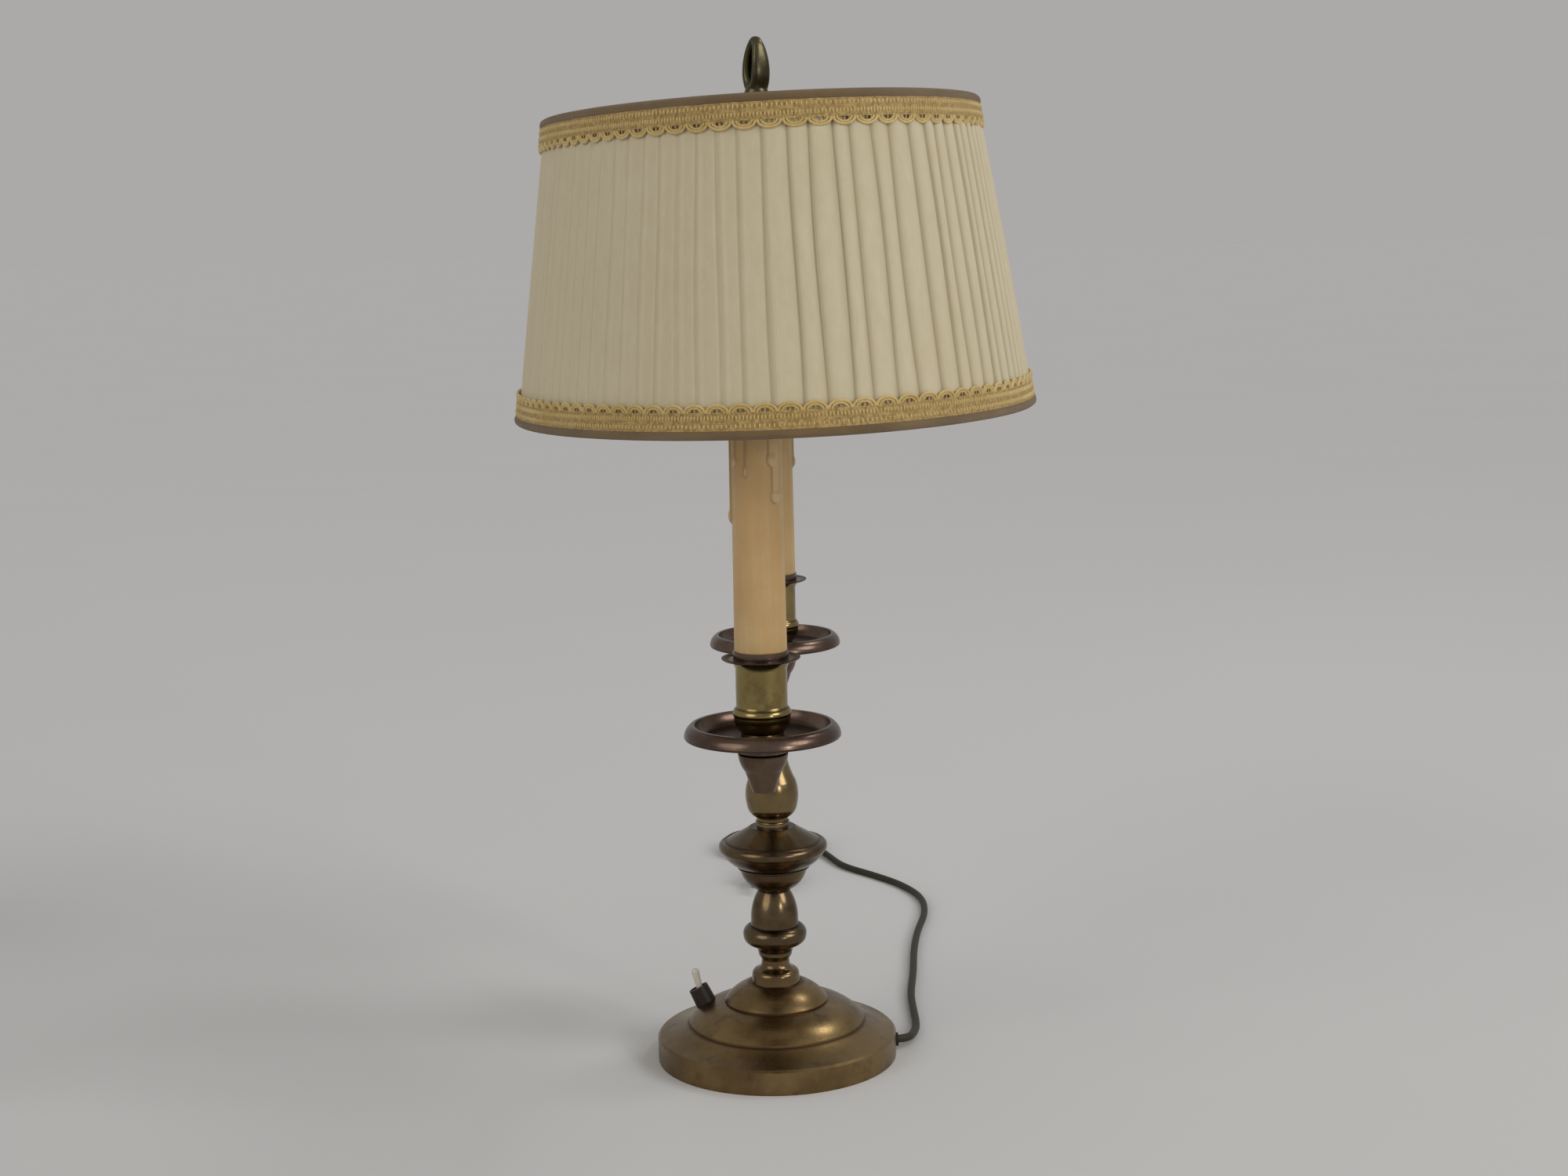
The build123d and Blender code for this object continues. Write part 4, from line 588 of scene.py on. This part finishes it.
for name, edge, inward in (("tape_top", SHADE_TOP, -1), ("tape_bottom", SHADE_TOP - SHADE_HEIGHT, 1)):
    ring_turns = oval_turns([k / TAPE_COLUMNS for k in range(TAPE_COLUMNS)])
    pucker = [draw.uniform(-TAPE_PUCKER, TAPE_PUCKER) for _ in range(TAPE_COLUMNS)]
    rows = []
    for out, back in TAPE_SECTION:
        rows.append([shade_place(t, edge + inward * back, out + p) for t, p in zip(ring_turns, pucker)])
    if inward > 0:
        rows.reverse()
    tape = grid_mesh("shade_" + name + "_cloth", rows)
    shell = tape.modifiers.new("thick", "SOLIDIFY")
    shell.thickness, shell.offset = TAPE_THICKNESS, -1.0
    twill.on(tape)
    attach(tape, "shade")
    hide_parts("shade_" + name)
    tapes.append(tape)

# --- The gimp braid ---
# A woven gold braid glued over the folds beside each tape: a band of cords, two rows of upright
# stitches across it, and a scalloped edge of looped and twisted cord.
BRAID_EDGE, BRAID_PITCH, BRAID_CORDS = 0.0043, 0.00074, 11
BRAID_OUT, CORD_RADIUS = 0.0016, 0.00055
# Each row of stitches: its level, half height and half width, and how many more there are.
STITCH_LEVELS = ((0.0059, 0.0013, 0.00058, 1), (0.0096, 0.0014, 0.00052, 1.3))
SCALLOP_LEVEL, SCALLOP_RADIUS = 0.0119, 0.0052
SCALLOP_STRANDS, STRAND_LENGTH, STRAND_RADIUS = 5, 0.0028, 0.0005
SCALLOP_ARCS, SCALLOP_FLATNESS = ((1.0, 0.00072), (0.68, 0.0006)), 0.66
STITCH_DEPTH = 0.00105
OVAL_POINTS, CORD_POINTS, ARC_POINTS = 256, 300, 11
braid_gold = Finish("braid_gold", Roughness=0.5, Sheen_Weight=0.12)
yarn = braid_gold.noise(700, 3, 0.6)
tone = braid_gold.noise(30, 4, 0.6).band(0.3, 0.7)
gold = braid_gold.mix(tone, (0.56, 0.4, 0.13), (0.7, 0.54, 0.23))
braid_gold.set(Base_Color=braid_gold.mix(yarn.band(0.35, 0.65) * 0.35, gold, (0.42, 0.27, 0.1)),
               Roughness=yarn * 0.3 + 0.35)
braid_gold.bump(braid_gold.noise(2600, 3), 0.0002, 0.6)
braid_ground = Finish("braid_ground", Roughness=0.6)
ground_yarn = braid_ground.noise(600, 3, 0.6).band(0.35, 0.65)
braid_ground.set(Base_Color=braid_ground.mix(ground_yarn, (0.3, 0.19, 0.065), (0.5, 0.35, 0.13)))
braid_ground.bump(braid_ground.noise(2600, 3), 0.0002, 0.6)


def braid(name, rim, inward, stitches, scallops):
    """One braid round the shade, woven inwards from a rim by a node tree."""
    tree = bpy.data.node_groups.new(name, "GeometryNodeTree")
    graph = Graph(tree)
    sizes = {"Rim height": rim, "Short half axis": SHADE_SHORT + BRAID_OUT,
             "Long half axis": SHADE_LONG + BRAID_OUT, "Flare": SHADE_FLARE / SHADE_HEIGHT,
             "Top height": SHADE_TOP, "Cord radius": CORD_RADIUS, "Scallop radius": SCALLOP_RADIUS,
             "Turn": SHADE_TURN, "Nod": SHADE_NOD, "Lean": SHADE_LEAN, "Seat height": SEAT.z}
    made = {key: tree.interface.new_socket(name=key, in_out="INPUT", socket_type="NodeSocketFloat")
            for key in sizes}
    tree.interface.new_socket(name="Geometry", in_out="OUTPUT", socket_type="NodeSocketGeometry")
    entry, exit_node = tree.nodes.new("NodeGroupInput"), tree.nodes.new("NodeGroupOutput")
    both = tree.nodes.new("GeometryNodeJoinGeometry")
    size = {key: Socket(graph, entry.outputs[key]) for key in sizes}

    def triple(x, y, z):
        return graph.node("ShaderNodeCombineXYZ", inputs=(x, y, z))

    def oval(level, points):
        z = size["Rim height"] + inward * level
        grow = (size["Top height"] - z) * size["Flare"]
        scale = triple(size["Short half axis"] + grow, size["Long half axis"] + grow, 1.0)
        place = triple(0.0, 0.0, z)
        circle = graph.node("CurvePrimitiveCircle", Resolution=OVAL_POINTS, Radius=1.0)
        curve = graph.node("Transform", Geometry=circle, Translation=place, Scale=scale)
        return graph.node("ResampleCurve", Curve=curve, Count=points)

    def cord(curve, radius, sides):
        ring = graph.node("CurvePrimitiveCircle", Resolution=sides, Radius=radius)
        return graph.node("CurveToMesh", Curve=curve, Profile_Curve=ring, Fill_Caps=True)

    def along(curve, piece):
        tangent = graph.node("InputTangent")
        facing = graph.node("FunctionNodeAlignRotationToVector", dict(axis="X"), Vector=tangent)
        return graph.node("InstanceOnPoints", Points=curve, Instance=piece, Rotation=facing)

    ground = [cord(oval(BRAID_EDGE + BRAID_PITCH * k, CORD_POINTS), size["Cord radius"], 6)
              for k in range(BRAID_CORDS)]
    strand = graph.node("CurvePrimitiveLine", output="Curve", Start=(0, 0, 0),
                        End=(0, 0, inward * STRAND_LENGTH))
    ground.append(along(oval(SCALLOP_LEVEL, scallops * SCALLOP_STRANDS), cord(strand, STRAND_RADIUS, 5)))
    stitched = []
    for level, tall, wide, closer in STITCH_LEVELS:
        bead = graph.node("MeshUVSphere", output="Mesh", Segments=6, Rings=5, Radius=1.0)
        bead = graph.node("Transform", Geometry=bead, Scale=(wide, STITCH_DEPTH, tall))
        stitched.append(along(oval(level, round(stitches * closer)), bead))
    for share, radius in SCALLOP_ARCS:
        arc = graph.node("CurveArc", output="Curve", Resolution=ARC_POINTS,
                         Radius=size["Scallop radius"] * share, Start_Angle=0.0, Sweep_Angle=math.pi)
        arc = graph.node("Transform", Geometry=arc, Rotation=(math.pi / 2 * inward, 0, 0),
                         Scale=(1.0, SCALLOP_FLATNESS, 1.0))
        stitched.append(along(oval(SCALLOP_LEVEL, scallops), cord(arc, radius, 6)))
    for finish, parts in ((braid_ground, ground), (braid_gold, stitched)):
        joined = tree.nodes.new("GeometryNodeJoinGeometry")
        for part in parts:
            tree.links.new(part.socket, joined.inputs[0])
        down = graph.node("Transform", Geometry=Socket(graph, joined.outputs[0]),
                          Translation=triple(0.0, 0.0, -size["Seat height"]))
        turned = graph.node("Transform", Geometry=down, Rotation=triple(0.0, 0.0, size["Turn"]))
        tipped = graph.node("Transform", Geometry=turned, Rotation=triple(size["Nod"], size["Lean"], 0.0),
                            Translation=triple(0.0, 0.0, size["Seat height"]))
        whole = graph.node("RealizeInstances", inputs=(tipped,))
        smooth = graph.node("SetShadeSmooth", inputs=(whole,))
        painted = graph.node("SetMaterial", Geometry=smooth, Material=finish.material)
        tree.links.new(painted.socket, both.inputs[0])
    tree.links.new(both.outputs[0], exit_node.inputs["Geometry"])
    piece = bpy.data.objects.new(name, bpy.data.meshes.new(name))
    bpy.context.collection.objects.link(piece)
    weaving = piece.modifiers.new("weaving", "NODES")
    weaving.node_group = tree
    for key, value in sizes.items():
        weaving[made[key].identifier] = value
    shown = piece.evaluated_get(bpy.context.evaluated_depsgraph_get())
    mesh = bpy.data.meshes.new_from_object(shown)
    piece.modifiers.clear()
    piece.data = mesh
    return piece


braids = []
for name, rim, inward, stitches, scallops in (("gimp_top", SHADE_TOP, -1, 400, 78),
                                              ("gimp_bottom", SHADE_TOP - SHADE_HEIGHT, 1, 460, 90)):
    band = braid("shade_" + name + "_braid", rim, inward, stitches, scallops)
    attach(band, "shade")
    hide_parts("shade_" + name)
    braids.append(band)
tapes + braids

# --- Floor and light ---
# A plain pale floor under soft studio light, brighter from the right as in the photograph. Far
# off, the floor is as bright as the sky, so that no line shows between them.
FLOOR_REACH = 25
SKY_COLOUR, SKY_STRENGTH = (0.6, 0.59, 0.575, 1.0), 0.68
LIT_MIDDLE = Vector((0, 0, 0.25))
floor = bpy.data.objects.new("floor", bpy.data.meshes.new("floor"))
corners = [(x * FLOOR_REACH, y * FLOOR_REACH, 0) for x, y in ((-1, -1), (1, -1), (1, 1), (-1, 1))]
floor.data.from_pydata(corners, [], [(0, 1, 2, 3)])
bpy.context.collection.objects.link(floor)
pale = Finish("pale_floor", Roughness=0.9)
pale.set(Base_Color=pale.mix(pale.noise(3, 2), (0.626, 0.627, 0.634), (0.644, 0.646, 0.652)))
pale.on(floor)


def light(name, kind, place, spread, power, colour):
    """A light that shines on the lamp from a place: a sun with a spread angle, or a round panel."""
    lamp = bpy.data.objects.new(name, bpy.data.lights.new(name, kind))
    lamp.data.energy, lamp.data.color = power, colour
    if kind == "SUN":
        lamp.data.angle = math.radians(spread)
    else:
        lamp.data.shape, lamp.data.size = "DISK", spread
    lamp.location = place
    lamp.rotation_euler = (LIT_MIDDLE - lamp.location).to_track_quat("-Z", "Y").to_euler()
    bpy.context.collection.objects.link(lamp)


light("window", "SUN", (1.8, -0.85, 1.55), 27, 0.84, (1.0, 0.98, 0.95))
light("fill", "SUN", (-1.8, -1.6, 1.45), 38, 0.58, (1.0, 0.96, 0.88))
light("pane", "AREA", (1.15, -1.5, 0.65), 0.24, 3.6, (1.0, 0.98, 0.95))
light("skylight", "AREA", (1.1, 0.5, 1.75), 0.4, 3.5, (1.0, 0.99, 0.97))
world = bpy.data.worlds.new("room")
bpy.context.scene.world = world
world.use_nodes = True
sky = world.node_tree.nodes["Background"]
sky.inputs["Color"].default_value, sky.inputs["Strength"].default_value = SKY_COLOUR, SKY_STRENGTH
bpy.context.scene.view_settings.view_transform = "Standard"
